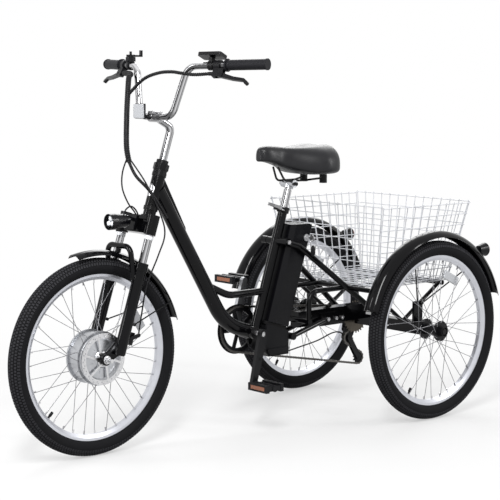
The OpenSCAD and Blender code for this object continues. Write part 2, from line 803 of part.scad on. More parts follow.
module main_frame() {
  vertex = [bb_x + 108, 0, bb_up + 37];
  head = fork_at([0, 0, 14]);
  dir = unit(head - vertex);
  color("#222222") difference() {
    union() {
      fork_space() translate([0, 0, -head_len / 2]) cylinder(d = head_d, h = head_len);
      at_axle() {
        bent_tube([[bb_x, 0, bb_up], vertex, head - 9 * dir], down_d / 2, 190);
        bent_tube([vertex + 0.3 * (head - vertex), vertex + [-17, 0, 93], seat_at(132)], cross_d / 2, 110);
        bar_y([bb_x, bb_up], -bb_half, bb_half, bb_r);
        rod(seat_at(-3), seat_at(seat_len), seat_d / 2);
        rod([bb_x, 0, bb_up], [yoke_x, 0, yoke_z], 15);
        bar_y([yoke_x, yoke_z], -43, 43, 12);
        mirrored() {
          rod([yoke_x, 34, yoke_z], [228, 34, 20], 9);
          translate([120, beam / 2 + gap, -2]) cube([118, 6, 44]);
        }
        bar_y(lug_at, -lug_half, lug_half, 12);
        plate_y(-3, 3) polygon([
          [head[0] - 6, head[2] + 26], [head[0] - 2, head[2] - 4], [head[0] - 105, head[2] - 160],
          [head[0] - 119, head[2] - 149], [head[0] - 117, head[2] - 134], [head[0] - 32, head[2] + 24]
        ]);
      }
    }
    fork_space() {
      translate([0, 0, -head_len]) cylinder(r = 16, h = 2 * head_len);
      translate([0, 0, head_len / 2]) cylinder(r = 40, h = 60);
    }
    at_axle() bar_y([bb_x, bb_up], -60, 60, 17 + fit);
    seat_space() translate([0, 0, -210]) cylinder(d = post_d + 2 * fit, h = 240);
    at_axle() for (x = bolt_x) bar_y([x, 20], -60, 60, 4 + fit);
    at_axle() bar_y(lug_at, -60, 60, 4 + fit);
  }
}

yoke_x = 380;
yoke_z = -20;
bolt_x = [204, 165, 136];
lug_l = 306;
lug_at = [seat_at(lug_l)[0], seat_at(lug_l)[2]];
lug_half = battery_w / 2 - 1;
lug_eye = 24;

module rear_frame() {
  b = beam / 2;
  color("#1e1e1e") at_axle() difference() {
    union() {
      translate([8, -b, 3]) cube([330, beam, 54]);
      translate([-b, -24, -b]) cube([beam, 307, beam]);
      translate([-b, -283, -b]) cube([beam, 195, beam]);
      bent_tube([[-b + 4, -10, 0], [-86, -10, 0], [-86, -110, 0], [-b + 4, -110, 0]], 10, 24);
      bent_tube([[96, -b + 6, 14], [96, -110, 2], [b - 4, -110, 0]], 10, 24);
      mirrored() translate([-18, 258, b - 4]) cube([44, 8, 76]);
      bar_y([338, 30], -78, 78, 10);
    }
    bar_y([0, 0], 24, 300, bearing_r + fit);
    bar_y([0, 0], -300, -80, bearing_r + fit);
    for (x = bolt_x) bar_y([x, 20], -60, 60, 4 + fit);
  }
}

module basket_carrier() {
  b = beam / 2;
  stay_y = lug_half + lug_eye / 2 + 1;
  color("#1e1e1e") at_axle() difference() {
    union() {
      mirrored() {
        bent_tube([
          [lug_at[0] - 5, stay_y, lug_at[1] - 1.5], [lug_at[0] - 62, stay_y, lug_at[1] - 19],
          [11, 100, b - 6]
        ], 10, 60);
        bar_y(lug_at, lug_half + gap, lug_half + lug_eye, 13);
        bent_tube([[338, 71, 24], [338, 71, carrier_up], [-200, 71, carrier_up]], carrier_d / 2, 40);
        rod([2, 190, b - 6], [160, 190, carrier_up], 7);
        rod([-2, 190, b - 6], [-186, 190, carrier_up], 7);
      }
      bar_y([162, carrier_up], -204, 204, carrier_d / 2 - 0.5);
      bar_y([-190, carrier_up], -204, 204, carrier_d / 2 - 0.5);
    }
    translate([-60, -300, -b - gap]) cube([140, 600, beam + 2 * gap]);
    bar_y([338, 30], -90, 90, 10 + gap);
    bar_y(lug_at, -80, 80, 4 + fit);
  }
}

module frame_bolts() {
  color("silver") at_axle() {
    for (x = bolt_x) {
      bar_y([x, 20], -34, 34, 4);
      for (s = [-1, 1]) translate([x, s * (beam / 2 + 6 + 2 * gap + 3), 20]) rotate([90, 0, 0])
        cylinder(r = 7.5, h = 6, center = true, $fn = 6);
    }
    mirrored() {
      bar_y(lug_at, lug_half - 8, lug_half + lug_eye + 5, 4);
      translate([lug_at[0], lug_half + lug_eye + gap + 3, lug_at[1]]) rotate([90, 0, 0])
        cylinder(r = 7.5, h = 6, center = true, $fn = 6);
    }
  }
}

module bearings() {
  color("gray") {
    at_axle() for (y = [24.3, 271, -283, -100.3]) difference() {
      bar_y([0, 0], y, y + 12, bearing_r);
      bar_y([0, 0], y - 1, y + 13, axle_r + fit);
    }
    at_axle() mirrored() difference() {
      union() {
        bar_y([bb_x, bb_up], 18, bb_half + 3, 17);
        bar_y([bb_x, bb_up], bb_half + gap, bb_half + 3.5, bb_r - 0.5);
      }
      bar_y([bb_x, bb_up], 0, 60, spindle_r + fit);
    }
    fork_space() for (s = [-1, 1]) mirror([0, 0, s < 0 ? 1 : 0]) difference() {
      union() {
        translate([0, 0, head_len / 2 + gap]) cylinder(d = head_d + 4, h = 12 - gap);
        translate([0, 0, head_len / 2 - 10]) cylinder(r = 16 - fit, h = 14);
      }
      translate([0, 0, head_len / 2 - 20]) cylinder(r = steerer_r + fit, h = 60);
    }
  }
}

// Rear fenders, lamps and basket

module rear_fenders() {
  color("#141414") at_axle() mirrored() {
    translate([0, half_track, 0]) {
      arc_y(fender_front, fender_back) fender_shape(fender_r, fender_w, 20);
      for (a = [77, 139]) rod(
        [(fender_r - 17) * cos(a), -sheet_y(fender_w, 20, 17), (fender_r - 17) * sin(a)],
        [a < 90 ? 15 : -7, 272 - half_track, 84], 2.4);
    }
    bar_y([15, 84], 266 + gap, 274, 5);
    bar_y([-7, 84], 266 + gap, 274, 5);
  }
}

module tail_lamps() {
  color("#701010") at_axle() mirrored() difference() {
    translate([tail_lamp_at[0], half_track, tail_lamp_at[1]]) rotate([0, -90, 0])
      cylinder(r1 = 15, r2 = 24, h = 34);
    bar_y([0, 0], half_track - 60, half_track + 60, fender_r + gap);
  }
}

fender_front = 17;
tail_lamp_at = (fender_r + 4.5) * [cos(131.4), sin(131.4)];

module wire(a, b) {
  v = b - a;
  translate(a) rotate([0, acos(v[2] / norm(v)), atan2(v[1], v[0])])
    cylinder(d = wire_d, h = norm(v), $fn = 8);
}

module basket_floor() {
  a = floor_l / 2;
  b = floor_w / 2;
  color("#e8e8e8") at_axle() translate([basket_x, 0, floor_z]) {
    for (i = [0 : 11]) let (y = -b + 4 + (floor_w - 8) * i / 11) wire([-a, y, 0], [a, y, 0]);
    for (i = [0 : 10]) let (x = -a + 4 + (floor_l - 8) * i / 10)
      wire([x, -b, 0.8 * wire_d], [x, b, 0.8 * wire_d]);
  }
}

// flat wall, half length foot at the floor and top at the rim
module wall_panel(foot, top, n) {
  for (i = [0 : n]) {
    k = -1 + 2 * i / n;
    wire([k * (foot - 5), 0, 0], [k * (top - 5), 0, basket_h]);
  }
  for (j = [0 : 7]) {
    z = 4 + (basket_h - 8) * j / 7;
    h = foot - 2 + (top - foot) * z / basket_h;
    wire([-h, 0.8 * wire_d, z], [h, 0.8 * wire_d, z]);
  }
}

module basket() {
  basket_floor();
  basket_walls();
}

module basket_walls() {
  side_lean = asin((basket_w - floor_w) / 2 / basket_h);
  end_lean = asin((basket_l - floor_l) / 2 / basket_h);
  color("#e8e8e8") at_axle() translate([basket_x, 0, floor_z + 1.3 * wire_d + gap]) {
    mirrored() translate([0, floor_w / 2, 0]) rotate([-side_lean, 0, 0])
      wall_panel(floor_l / 2, basket_l / 2, 11);
    for (s = [0, 180]) rotate([0, 0, s]) translate([floor_l / 2 - 3, 0, 0]) rotate([0, end_lean, 0])
      rotate([0, 0, -90]) wall_panel(floor_w / 2, basket_w / 2, 13);
  }
}

// Drive train

roller_r = 3.6;
tooth_out = 3.2;
function tooth_points(n, phase) = let (r = pitch / (2 * sin(180 / n)), s = 360 / n) [
  for (i = [0 : n - 1], k = [0 : 3])
    let (a = phase + s * (i + [0.2, 0.4, 0.6, 0.8][k]), q = r + [-roller_r, tooth_out, tooth_out, -roller_r][k])
    [q * cos(a), q * sin(a)]
];

ring_c = [bb_x, bb_up];
function turn2(v, a) = [v[0] * cos(a) - v[1] * sin(a), v[0] * sin(a) + v[1] * cos(a)];
function side_out(c0, r0, c1, r1) = let (d = c1 - c0) turn2(d / norm(d), -acos((r0 - r1) / norm(d)));
function side_in(c0, r0, c1, r1, s) = let (d = c1 - c0) turn2(d / norm(d), s * acos((r0 + r1) / norm(d)));
function angle2(v) = atan2(v[1], v[0]);
m_top = side_out(ring_c, ring_pr, [0, 0], cog_pr);
m_cog = side_in([0, 0], cog_pr, jockey_a, jockey_pr, -1);
m_cage = side_in(jockey_a, jockey_pr, jockey_b, jockey_pr, 1);
m_low = side_out(jockey_b, jockey_pr, ring_c, ring_pr);

// run of the chain: straight pieces [from, to] and arcs [centre, radius, angle, turn]
runs = [
  [ring_c + ring_pr * m_top, cog_pr * m_top],
  [[0, 0], cog_pr, angle2(m_top), angle2(m_cog) + 360 - angle2(m_top)],
  [cog_pr * m_cog, jockey_a - jockey_pr * m_cog],
  [jockey_a, jockey_pr, angle2(-m_cog), angle2(m_cage) - angle2(-m_cog)],
  [jockey_a + jockey_pr * m_cage, jockey_b - jockey_pr * m_cage],
  [jockey_b, jockey_pr, angle2(-m_cage), angle2(m_low) + 360 - angle2(-m_cage)],
  [jockey_b + jockey_pr * m_low, ring_c + ring_pr * m_low],
  [ring_c, ring_pr, angle2(m_low), angle2(m_top) - angle2(m_low)]
];
function run_len(r) = len(r) == 2 ? norm(r[1] - r[0]) : r[1] * abs(r[3]) * PI / 180;
function run_sum(i) = i == 0 ? 0 : run_sum(i - 1) + run_len(runs[i - 1]);
function run_at(r, d) = len(r) == 2 ? r[0] + (r[1] - r[0]) * d / run_len(r) :
  r[0] + r[1] * [cos(r[2] + r[3] * d / run_len(r)), sin(r[2] + r[3] * d / run_len(r))];
starts = [for (i = [0 : 8]) run_sum(i)];
link_count = 2 * round(starts[8] / pitch / 2);
link_pitch = starts[8] / link_count;
function run_of(d) = max([for (i = [0 : 7]) starts[i] <= d ? i : 0]);
function pin_at(k) = let (d = (k % link_count) * link_pitch, i = run_of(d)) run_at(runs[i], d - starts[i]);
function tooth_reach(r) = sqrt(pow(r + tooth_out + roller_r + 2 * gap, 2) - r * r);
function pin_free(k) = let (d = k * link_pitch, i = run_of(d)) len(runs[i]) == 2 &&
  d - starts[i] > tooth_reach(runs[(i + 7) % 8][1]) && starts[i + 1] - d > tooth_reach(runs[i + 1][1]);
function gap_phase(i) = let (k = ceil(starts[i] / link_pitch)) angle2(pin_at(k) - runs[i][0]);

module chain() {
  color("#5a5a5a") at_axle() {
    for (s = [-1, 1]) plate_y(-chain_y + s * 2.65 - 0.75, -chain_y + s * 2.65 + 0.75) {
      for (k = [0 : link_count - 1]) {
        translate(pin_at(k)) circle(r = 4.1);
        bar2d(pin_at(k), pin_at(k + 1), 3);
      }
    }
    for (k = [0 : link_count - 1]) if (pin_free(k)) bar_y(pin_at(k), -chain_y - 2.4, -chain_y + 2.4, roller_r);
  }
}

module bar2d(a, b, r) {
  v = b - a;
  translate(a) rotate(angle2(v)) translate([0, -r]) square([norm(v), 2 * r]);
}

module chainring() {
  color("#3c3c3c") at_axle() translate([bb_x, 0, bb_up]) difference() {
    union() {
      plate_y(-chain_y - 1.1, -chain_y + 1.1) difference() {
        polygon(tooth_points(ring_teeth, angle2(m_top)));
        circle(r = ring_pr - 14);
      }
      plate_y(-chain_y - 2, -chain_y + 2) {
        circle(r = 20);
        for (a = [0 : 72 : 288]) rotate(a) translate([0, -7]) square([ring_pr - 10, 14]);
      }
      plate_y(-chain_y - 8.4, -chain_y - 5.8) difference() {
        circle(r = ring_pr + 7.2);
        circle(r = ring_pr - 12);
      }
      for (a = [0 : 72 : 288]) rotate([0, a, 0]) bar_y([ring_pr - 9.5, 0], -chain_y - 8, -chain_y, 2.4);
      bar_y([0, 0], -arm_y + gap, -chain_y + 2, 15);
    }
    bar_y([0, 0], -90, -20, spindle_r + fit);
  }
}

module crank_spindle() {
  color("silver") at_axle() bar_y([bb_x, bb_up], -arm_y - arm_t + 2, arm_y + arm_t - 2, spindle_r);
}

module crank_arms() {
  color("#2b2b2b") at_axle() for (s = [-1, 1]) {
    p = s > 0 ? pedal_left_at : pedal_right_at;
    y0 = s > 0 ? arm_y : -arm_y - arm_t;
    difference() {
      plate_y(y0, y0 + arm_t) taper2d(ring_c, p, 17, 11);
      bar_y(ring_c, -120, 120, spindle_r + fit);
      bar_y((ring_c + p) / 2, s * (arm_y + arm_t) - 2, s * (arm_y + arm_t) + 2, 5);
    }
    bar_y(p, s > 0 ? arm_y + 6 : -arm_y - arm_t - pedal_w - 3,
      s > 0 ? arm_y + arm_t + pedal_w + 3 : -arm_y - 6, 5);
  }
}

module pedal(s, p) {
  y0 = arm_y + arm_t + 3;
  color("#191919") at_axle() mirror([0, s < 0 ? 1 : 0, 0]) translate([p[0], 0, p[1]]) difference() {
    union() {
      bar_y([0, 0], y0, y0 + pedal_w, 11);
      for (x = [-1, 1]) translate([x * (pedal_l / 2 - 7), y0 + pedal_w / 2 + 3, 0])
        cube([14, pedal_w - 8, 25], center = true);
      translate([-pedal_l / 2 + 3, y0 + 10, -8]) cube([pedal_l - 6, 10, 16]);
      translate([-pedal_l / 2 + 3, y0 + pedal_w - 12, -8]) cube([pedal_l - 6, 10, 16]);
      translate([-pedal_l / 2 + 3, y0 + pedal_w / 2 - 3, -7]) cube([pedal_l - 6, 8, 14]);
    }
    bar_y([0, 0], y0 - 10, y0 + pedal_w + 10, 5 + fit);
    for (x = [-1, 1]) translate([x * pedal_l / 2, y0 + pedal_w / 2 + 3, 0])
      cube([4, pedal_w - 30, 14], center = true);
  }
}

module pedal_left() { pedal(1, pedal_left_at); }
module pedal_right() { pedal(-1, pedal_right_at); }

module freewheel() {
  color("#6a6050") at_axle() difference() {
    union() {
      bar_y([0, 0], -chain_y - 3 * cog_step - 4, -chain_y + 3 * cog_step + 4, 20);
      for (i = [0 : 6]) plate_y(-chain_y + cog_step * (i - 3) - 0.9, -chain_y + cog_step * (i - 3) + 0.9)
        polygon(tooth_points(cog_teeth[i], i == 3 ? gap_phase(1) : 7 * i));
    }
    bar_y([0, 0], -120, 0, axle_r + fit);
  }
}

module jockey(c, phase) {
  at_axle() translate([c[0], 0, c[1]]) difference() {
    union() {
      plate_y(-chain_y - 1.1, -chain_y + 1.1) polygon(tooth_points(11, phase));
      bar_y([0, 0], -chain_y - 5, -chain_y + 5, 7);
    }
    bar_y([0, 0], -80, 0, 3 + fit);
  }
}

module jockey_upper() { color("#202020") jockey(jockey_a, gap_phase(3)); }
module jockey_lower() { color("#202020") jockey(jockey_b, gap_phase(5)); }

module derailleur() {
  hang = [10, -48];
  color("#4a4a4a") at_axle() {
    for (s = [-1, 1]) plate_y(-chain_y + s * 6.6 - 0.8, -chain_y + s * 6.6 + 0.8) {
      link2d(jockey_a, jockey_b, 10);
    }
    for (c = [jockey_a, jockey_b]) bar_y(c, -chain_y - 8.4, -chain_y + 8.4, 3);
    bar_y(jockey_a, -76, -chain_y - 6.5, 12);
    plate_y(-78, -66) link2d(hang, jockey_a, 9);
    bar_y(hang, -86, -70, 10);
    plate_y(-88 + gap, -82) difference() {
      union() {
        link2d([0, 0], hang, 11.5);
        circle(r = 19);
      }
      circle(r = 13);
    }
  }
}

module shift_cable() {
  color("#141414") at_axle() cord([
    [bb_x - 20, -27, -22], [bb_x - 35, -40, -42], [bb_x - 60, -42, -62], [bb_x - 110, -42, -87],
    [360, -42, -90], [268, -45, -80], [180, -48, -68], [101, -58, -52], [50, -71, -55], [30, -72, -66]
  ], 2.4, [0, 1, 0.2], 2, 8);
}

// Seat

module seat_clamp() {
  color("#2a2a2a") seat_space() {
    difference() {
      union() {
        translate([0, 0, -16]) cylinder(d = seat_d + 9, h = 18);
        translate([seat_d / 2 + 1, -9, -14]) cube([14, 18, 14]);
      }
      translate([0, 0, -40]) cylinder(d = seat_d + 2 * fit, h = 40 + gap);
      translate([0, 0, -20]) cylinder(d = post_d + 2, h = 40);
      translate([0, -1.5, -20]) cube([60, 3, 40]);
    }
    bar_y([seat_d / 2 + 9, -7], -16, 24, 2.6);
    bar_y([seat_d / 2 + 9, -7], -16, -9 - gap, 6);
    translate([seat_d / 2 + 9, 24, -15]) cylinder(r = 3, h = 16);
  }
}

module quick_release_lever() {
  color("silver") seat_space() translate([seat_d / 2 + 9, 24, -7]) difference() {
    union() {
      for (z = [-6.8, 3.2]) translate([0, 0, z]) cylinder(r = 7, h = 3.6);
      translate([4.5, -2.5, -6.4]) cube([13, 5, 12.8]);
      rotate([0, 0, -6]) translate([0, 0, -5]) linear_extrude(10)
        strip2d([[15, 1.5, 3.6], [38, 3, 3.2], [62, 1, 2.4]], [0, 0]);
    }
    translate([0, 0, -20]) cylinder(r = 3 + fit, h = 40);
  }
}

module seatpost() {
  color("silver") seat_space() {
    translate([0, 0, -150]) cylinder(d = post_d, h = 150 + post_out - 12);
    translate([0, 0, post_out - 14]) cylinder(r = 11, h = 17);
  }
}

rail_z = 20;
saddle_nose = 0.457;

module saddle_frame() {
  color("#1a1a1a") saddle_space() {
    difference() {
      union() {
        rotate([0, -seat_tilt, 0]) translate([0, 0, -6]) cylinder(r = 16, h = 24);
        bar_y([0, rail_z - 10], -30, 30, 13);
      }
      rotate([0, -seat_tilt, 0]) translate([0, 0, -30]) cylinder(r = 11 + fit, h = 33 + gap);
    }
    mirrored() {
      bent_tube([
        [saddle_l * 0.2, 12, 67], [saddle_l * 0.12, 20, rail_z],
        [-saddle_l * 0.17, 24, rail_z], [-saddle_l * 0.38, 48, rail_z + 7]
      ], 3.5, 24);
      translate([-saddle_l * 0.38, 48, 10]) cylinder(r = 13, h = saddle_skirt - 10 - gap);
    }
    bar_y([0, rail_z - 10], -40, 40, 6);
  }
}

// padded saddle, lofted from nose to tail
function ease(t) = t <= 0 ? 0 : t >= 1 ? 1 : t * t * (3 - 2 * t);
function saddle_half(t) = (33 + (saddle_w / 2 - 33) * ease((t - 0.24) / 0.5)) *
  pow(1 - pow(abs(2 * t - 1), t < 0.5 ? 9 : 7), 0.5);
function saddle_top(t) = 122 + 20 * pow(1 - pow(abs(2 * t - 1), 8), 0.6) - 10 * sin(180 * ease(t));
saddle_skirt = 39;
function saddle_low(t) = 88 - (88 - saddle_skirt) * ease(t / 0.68) + 18 * ease((t - 0.88) / 0.12);
function saddle_ring(t) = let (
    w = max(saddle_half(t), 6), z1 = saddle_top(t), z0 = saddle_low(t), m = z0 + 0.3 * (z1 - z0)
  ) [for (i = [0 : 27]) let (a = -360 * i / 28, c = cos(a), s = sin(a))
    [saddle_l * (saddle_nose - t), w * sign(c) * pow(abs(c), 0.75),
     m + (s > 0 ? z1 - m : m - z0) * sign(s) * pow(abs(s), s > 0 ? 0.8 : 0.5)]];

module saddle_cushion() {
  color("#181818") saddle_space()
    loft([for (t = [0.004, 0.015, 0.035, 0.07, 0.12, 0.18, 0.25, 0.32, 0.39, 0.46, 0.53, 0.6, 0.67, 0.74,
      0.81, 0.87, 0.92, 0.955, 0.98, 0.996]) saddle_ring(t)]);
}

// Battery

battery_front = seat_d / 2 + 8;
battery_foot = 36 - seat_len;

module battery_rail() {
  color("gray") seat_space() difference() {
    union() {
      translate([-battery_front + gap, -17, battery_foot + 4]) cube([battery_front - 8, 34, seat_len - 91]);
      translate([-battery_front - battery_deep + 12, -28, battery_foot - 10])
        cube([battery_deep, 56, 10 - gap]);
      translate([-battery_front + gap, -17, battery_foot - 6]) cube([battery_front - 8, 34, 40]);
    }
    translate([0, 0, battery_foot - 40]) cylinder(d = seat_d + 2 * gap, h = 500);
    bar_y([0, lug_l - seat_len], -60, 60, 12 + gap);
  }
}

module battery_case() {
  h = battery_w / 2;
  d = battery_deep;
  color("#1b1b1b") seat_space() translate([-battery_front, 0, 0]) difference() {
    union() {
      translate([0, 0, battery_foot + gap]) linear_extrude(battery_len + 12) polygon([
        [0, -h + 10], [-16, -h], [-d + 14, -h], [-d, -h + 14],
        [-d, h - 14], [-d + 14, h], [-16, h], [0, h - 10]
      ]);
    }
    translate([0, 0, battery_foot + battery_len]) rotate([0, seat_tilt, 0])
      translate([-150, -60, -10]) cube([300, 120, 80]);
    for (s = [-1, 1]) translate([-d - 1, s * (h + 5) - 6, battery_foot + 286]) rotate([0, 8, 0])
      translate([-20, 0, 0]) cube([d + 60, 12, 1.6]);
    translate([-d - 5, -50, battery_foot + 286]) rotate([0, 8, 0]) cube([6.2, 100, 1.6]);
    bar_y(lock_at, h - 12, h + 10, 9 + fit);
  }
}

lock_at = [-72, battery_foot + 308];

module battery_lock() {
  color("silver") seat_space() translate([-battery_front, 0, 0]) {
    h = battery_w / 2;
    difference() {
      union() {
        bar_y(lock_at, h - 11, h + 4, 9);
        bar_y(lock_at, h + gap, h + 4, 12);
      }
      translate([lock_at[0], h + 4, lock_at[1]]) cube([2, 6, 10], center = true);
    }
  }
}

module controller_box() {
  color("#262626") difference() {
    at_axle() {
      plate_y(-33, 33) polygon([
        [395, -78], [486, -78], [501, -62], [501, -16], [494, 40], [402, 40], [395, -22]
      ]);
      plate_y(-37, 37) polygon([[400, -72], [482, -72], [494, -60], [494, -52], [400, -52]]);
    }
    at_axle() rod([bb_x, 0, bb_up], [yoke_x, 0, yoke_z], 15 + gap);
    seat_space() translate([-200, -60, battery_foot - 10 - gap]) cube([260, 120, 120]);
  }
}

main_frame();
rear_frame();
basket_carrier();
frame_bolts();
bearings();
seat_clamp();
battery_rail();
controller_box();
rear_fenders();
tail_lamps();
basket();
derailleur();
chain();
shift_cable();
crank_spindle();
chainring();
crank_arms();
pedal_left();
pedal_right();
freewheel();
jockey_upper();
jockey_lower();
tyre_left();
rim_left();
spokes_left();
hub_left();
axle_left();
tyre_right();
rim_right();
spokes_right();
hub_right();
drive_axle();
tyre_front();
rim_front();
spokes_front();
hub_motor();
brake_rotor();
fork_lowers();
front_fender();
brake_caliper();
front_axle();
fork_crown();
headset_nut();
stem();
handlebar();
grips();
display();
bar_perches();
headlight();
cable_loom();
brake_lever_left();
brake_lever_right();
thumb_shifter();
front_brake_cable();
seatpost();
saddle_frame();
saddle_cushion();
battery_case();
battery_lock();
quick_release_lever();
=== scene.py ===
"""Looks of an adult tricycle: finishes, soft saddle, cables and small fitted pieces."""

import math

import bpy
from mathutils import Matrix, Vector


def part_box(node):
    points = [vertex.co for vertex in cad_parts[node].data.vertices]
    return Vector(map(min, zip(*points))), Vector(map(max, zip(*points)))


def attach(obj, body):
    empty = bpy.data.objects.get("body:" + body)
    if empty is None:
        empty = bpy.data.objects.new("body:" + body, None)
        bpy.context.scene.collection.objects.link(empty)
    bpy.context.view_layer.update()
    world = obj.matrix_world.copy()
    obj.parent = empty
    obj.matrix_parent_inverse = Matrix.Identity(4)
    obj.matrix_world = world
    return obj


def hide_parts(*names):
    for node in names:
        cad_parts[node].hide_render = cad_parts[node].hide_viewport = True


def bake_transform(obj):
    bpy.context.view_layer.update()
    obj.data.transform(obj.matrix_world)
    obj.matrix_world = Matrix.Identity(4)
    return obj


bl_info = {
    "name": "Adult Tricycle Looks",
    "version": (1, 0, 0),
    "blender": (4, 5, 0),
    "location": "View3D > Sidebar > Tricycle",
    "description": "Finishes and small pieces of an adult tricycle",
    "category": "Object",
}

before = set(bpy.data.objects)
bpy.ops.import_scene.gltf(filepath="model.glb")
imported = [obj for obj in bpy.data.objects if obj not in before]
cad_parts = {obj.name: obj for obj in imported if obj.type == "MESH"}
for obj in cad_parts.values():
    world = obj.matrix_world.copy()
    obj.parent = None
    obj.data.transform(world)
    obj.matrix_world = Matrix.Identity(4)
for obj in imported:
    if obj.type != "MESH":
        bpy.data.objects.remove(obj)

# Points are in metres in the shared frame, sizes of pieces in millimetres

MM = 0.001


# Places taken from the CAD pieces


def middle(node):
    """Middle of a CAD piece's box."""
    lo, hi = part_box(node)
    return (lo + hi) / 2


def wheel_places():
    """Body, side and centre of each wheel."""
    return [("wheel_" + side, side, middle("tyre_" + side)) for side in ("front", "left", "right")]


REAR = Vector((middle("tyre_left").x, 0.0, middle("tyre_left").z))


def at(x, y, z):
    """Point given in millimetres from the middle of the rear axle."""
    return REAR + Vector((x, y, z)) * MM


# Steering axis, and the fork tubes beside it

RAKE = math.radians(18.0)
AHEAD = Vector((math.cos(RAKE), 0, math.sin(RAKE)))
ALONG = Vector((-math.sin(RAKE), 0, math.cos(RAKE)))
HEAD = at(943.755, 0, 497.335)
STANCHION_AHEAD = 34
STANCHION_BESIDE = 70
STANCHION_REACH = 13.5
CROWN_FOOT = -143.5

# Top of the seatpost, and the barrel and jaw of the clamp that holds the saddle rails there

SADDLE = at(370.85, 0, 488.04)
BARREL_RADIUS = 19
BARREL_TOP = 16
JAW_RADIUS = 13.8
JAW_HEIGHT = 10
JAW_HALF = 30.1


def fork(x, y, z):
    """Point in millimetres ahead of, beside and along the steering axis, from the middle of the head tube."""
    return HEAD + AHEAD * (x * MM) + Vector((0, y * MM, 0)) + ALONG * (z * MM)


# Meshes


def new_object(name, verts, faces, material, body=None, smooth=True):
    """Mesh object that rides on a body, if one is named."""
    mesh = bpy.data.meshes.new(name)
    mesh.from_pydata([tuple(v) for v in verts], [], faces)
    mesh.update()
    if smooth:
        mesh.polygons.foreach_set("use_smooth", [True] * len(mesh.polygons))
    obj = bpy.data.objects.new(name, mesh)
    bpy.context.scene.collection.objects.link(obj)
    obj.data.materials.append(material)
    if body:
        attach(obj, body)
    return obj


def basis(direction):
    """Two unit vectors across a direction."""
    d = Vector(direction).normalized()
    side = d.cross(Vector((0, 0, 1)) if abs(d.z) < 0.9 else Vector((1, 0, 0))).normalized()
    return side, d.cross(side)


def lathe(profile, start, direction, sides=32):
    """Vertices and faces of a profile of (distance, radius) pairs turned about a direction."""
    d = Vector(direction).normalized()
    a, b = basis(d)
    verts, faces = [], []
    for h, r in profile:
        for i in range(sides):
            t = 2 * math.pi * i / sides
            across = a * math.cos(t) + b * math.sin(t)
            verts.append(Vector(start) + d * (h * MM) + across * (r * MM))
    for k in range(len(profile) - 1):
        for i in range(sides):
            j = (i + 1) % sides
            faces.append((k * sides + i, k * sides + j, (k + 1) * sides + j, (k + 1) * sides + i))
    faces.append(tuple(range(sides - 1, -1, -1)))
    last = (len(profile) - 1) * sides
    faces.append(tuple(range(last, last + sides)))
    return verts, faces


def block(centre, size, rotation=None):
    """Vertices and faces of a box."""
    r = rotation or Matrix.Identity(3)
    verts = []
    for x in (-0.5, 0.5):
        for y in (-0.5, 0.5):
            for z in (-0.5, 0.5):
                corner = Vector((x * size[0], y * size[1], z * size[2])) * MM
                verts.append(Vector(centre) + r @ corner)
    faces = [(0, 1, 3, 2), (4, 6, 7, 5), (0, 4, 5, 1), (2, 3, 7, 6), (0, 2, 6, 4), (1, 5, 7, 3)]
    return verts, faces


def joined(parts):
    """One list of vertices and faces from several."""
    verts, faces = [], []
    for v, f in parts:
        n = len(verts)
        verts += v
        faces += [tuple(i + n for i in face) for face in f]
    return verts, faces


def bevelled(obj, width, segments=2):
    """Rounds the edges of a mesh object."""
    mod = obj.modifiers.new("Round edges", "BEVEL")
    mod.width = width * MM
    mod.segments = segments
    mod.limit_method = "ANGLE"
    bake(obj)
    return obj


def bake(obj):
    """Turns an object's modifiers into plain mesh."""
    depsgraph = bpy.context.evaluated_depsgraph_get()
    mesh = bpy.data.meshes.new_from_object(obj.evaluated_get(depsgraph))
    obj.modifiers.clear()
    obj.data = mesh
    return obj


def curve_points(points, steps):
    """Smooth curve through points."""
    p = [Vector(q) for q in points]
    out = []
    for i in range(len(p) - 1):
        a, b = p[max(i - 1, 0)], p[i]
        c, d = p[i + 1], p[min(i + 2, len(p) - 1)]
        for j in range(steps):
            t = j / steps
            square = (2 * a - 5 * b + 4 * c - d) * t * t
            cube = (3 * b - 3 * c + d - a) * t ** 3
            out.append(0.5 * (2 * b + (c - a) * t + square + cube))
    out.append(p[-1])
    return out


def tube(points, radius, steps=8, sides=12, wave=0.0, pitch=1.0):
    """Vertices and faces of a round cord along a smooth curve, with optional spiral ridges."""
    q = curve_points(points, steps)
    verts, faces = [], []
    side = None
    run = 0.0
    for k, p in enumerate(q):
        d = (q[min(k + 1, len(q) - 1)] - q[max(k - 1, 0)]).normalized()
        if k:
            run += (p - q[k - 1]).length
        side = basis(d)[0] if side is None else (side - d * side.dot(d)).normalized()
        up = d.cross(side)
        for i in range(sides):
            t = 2 * math.pi * i / sides
            r = (radius + wave * math.sin(2 * math.pi * run / (pitch * MM) + t)) * MM
            verts.append(p + side * (r * math.cos(t)) + up * (r * math.sin(t)))
    for k in range(len(q) - 1):
        for i in range(sides):
            j = (i + 1) % sides
            faces.append((k * sides + i, (k + 1) * sides + i, (k + 1) * sides + j, k * sides + j))
    faces.append(tuple(range(sides)))
    last = (len(q) - 1) * sides
    faces.append(tuple(range(last + sides - 1, last - 1, -1)))
    return verts, faces


# Finishes


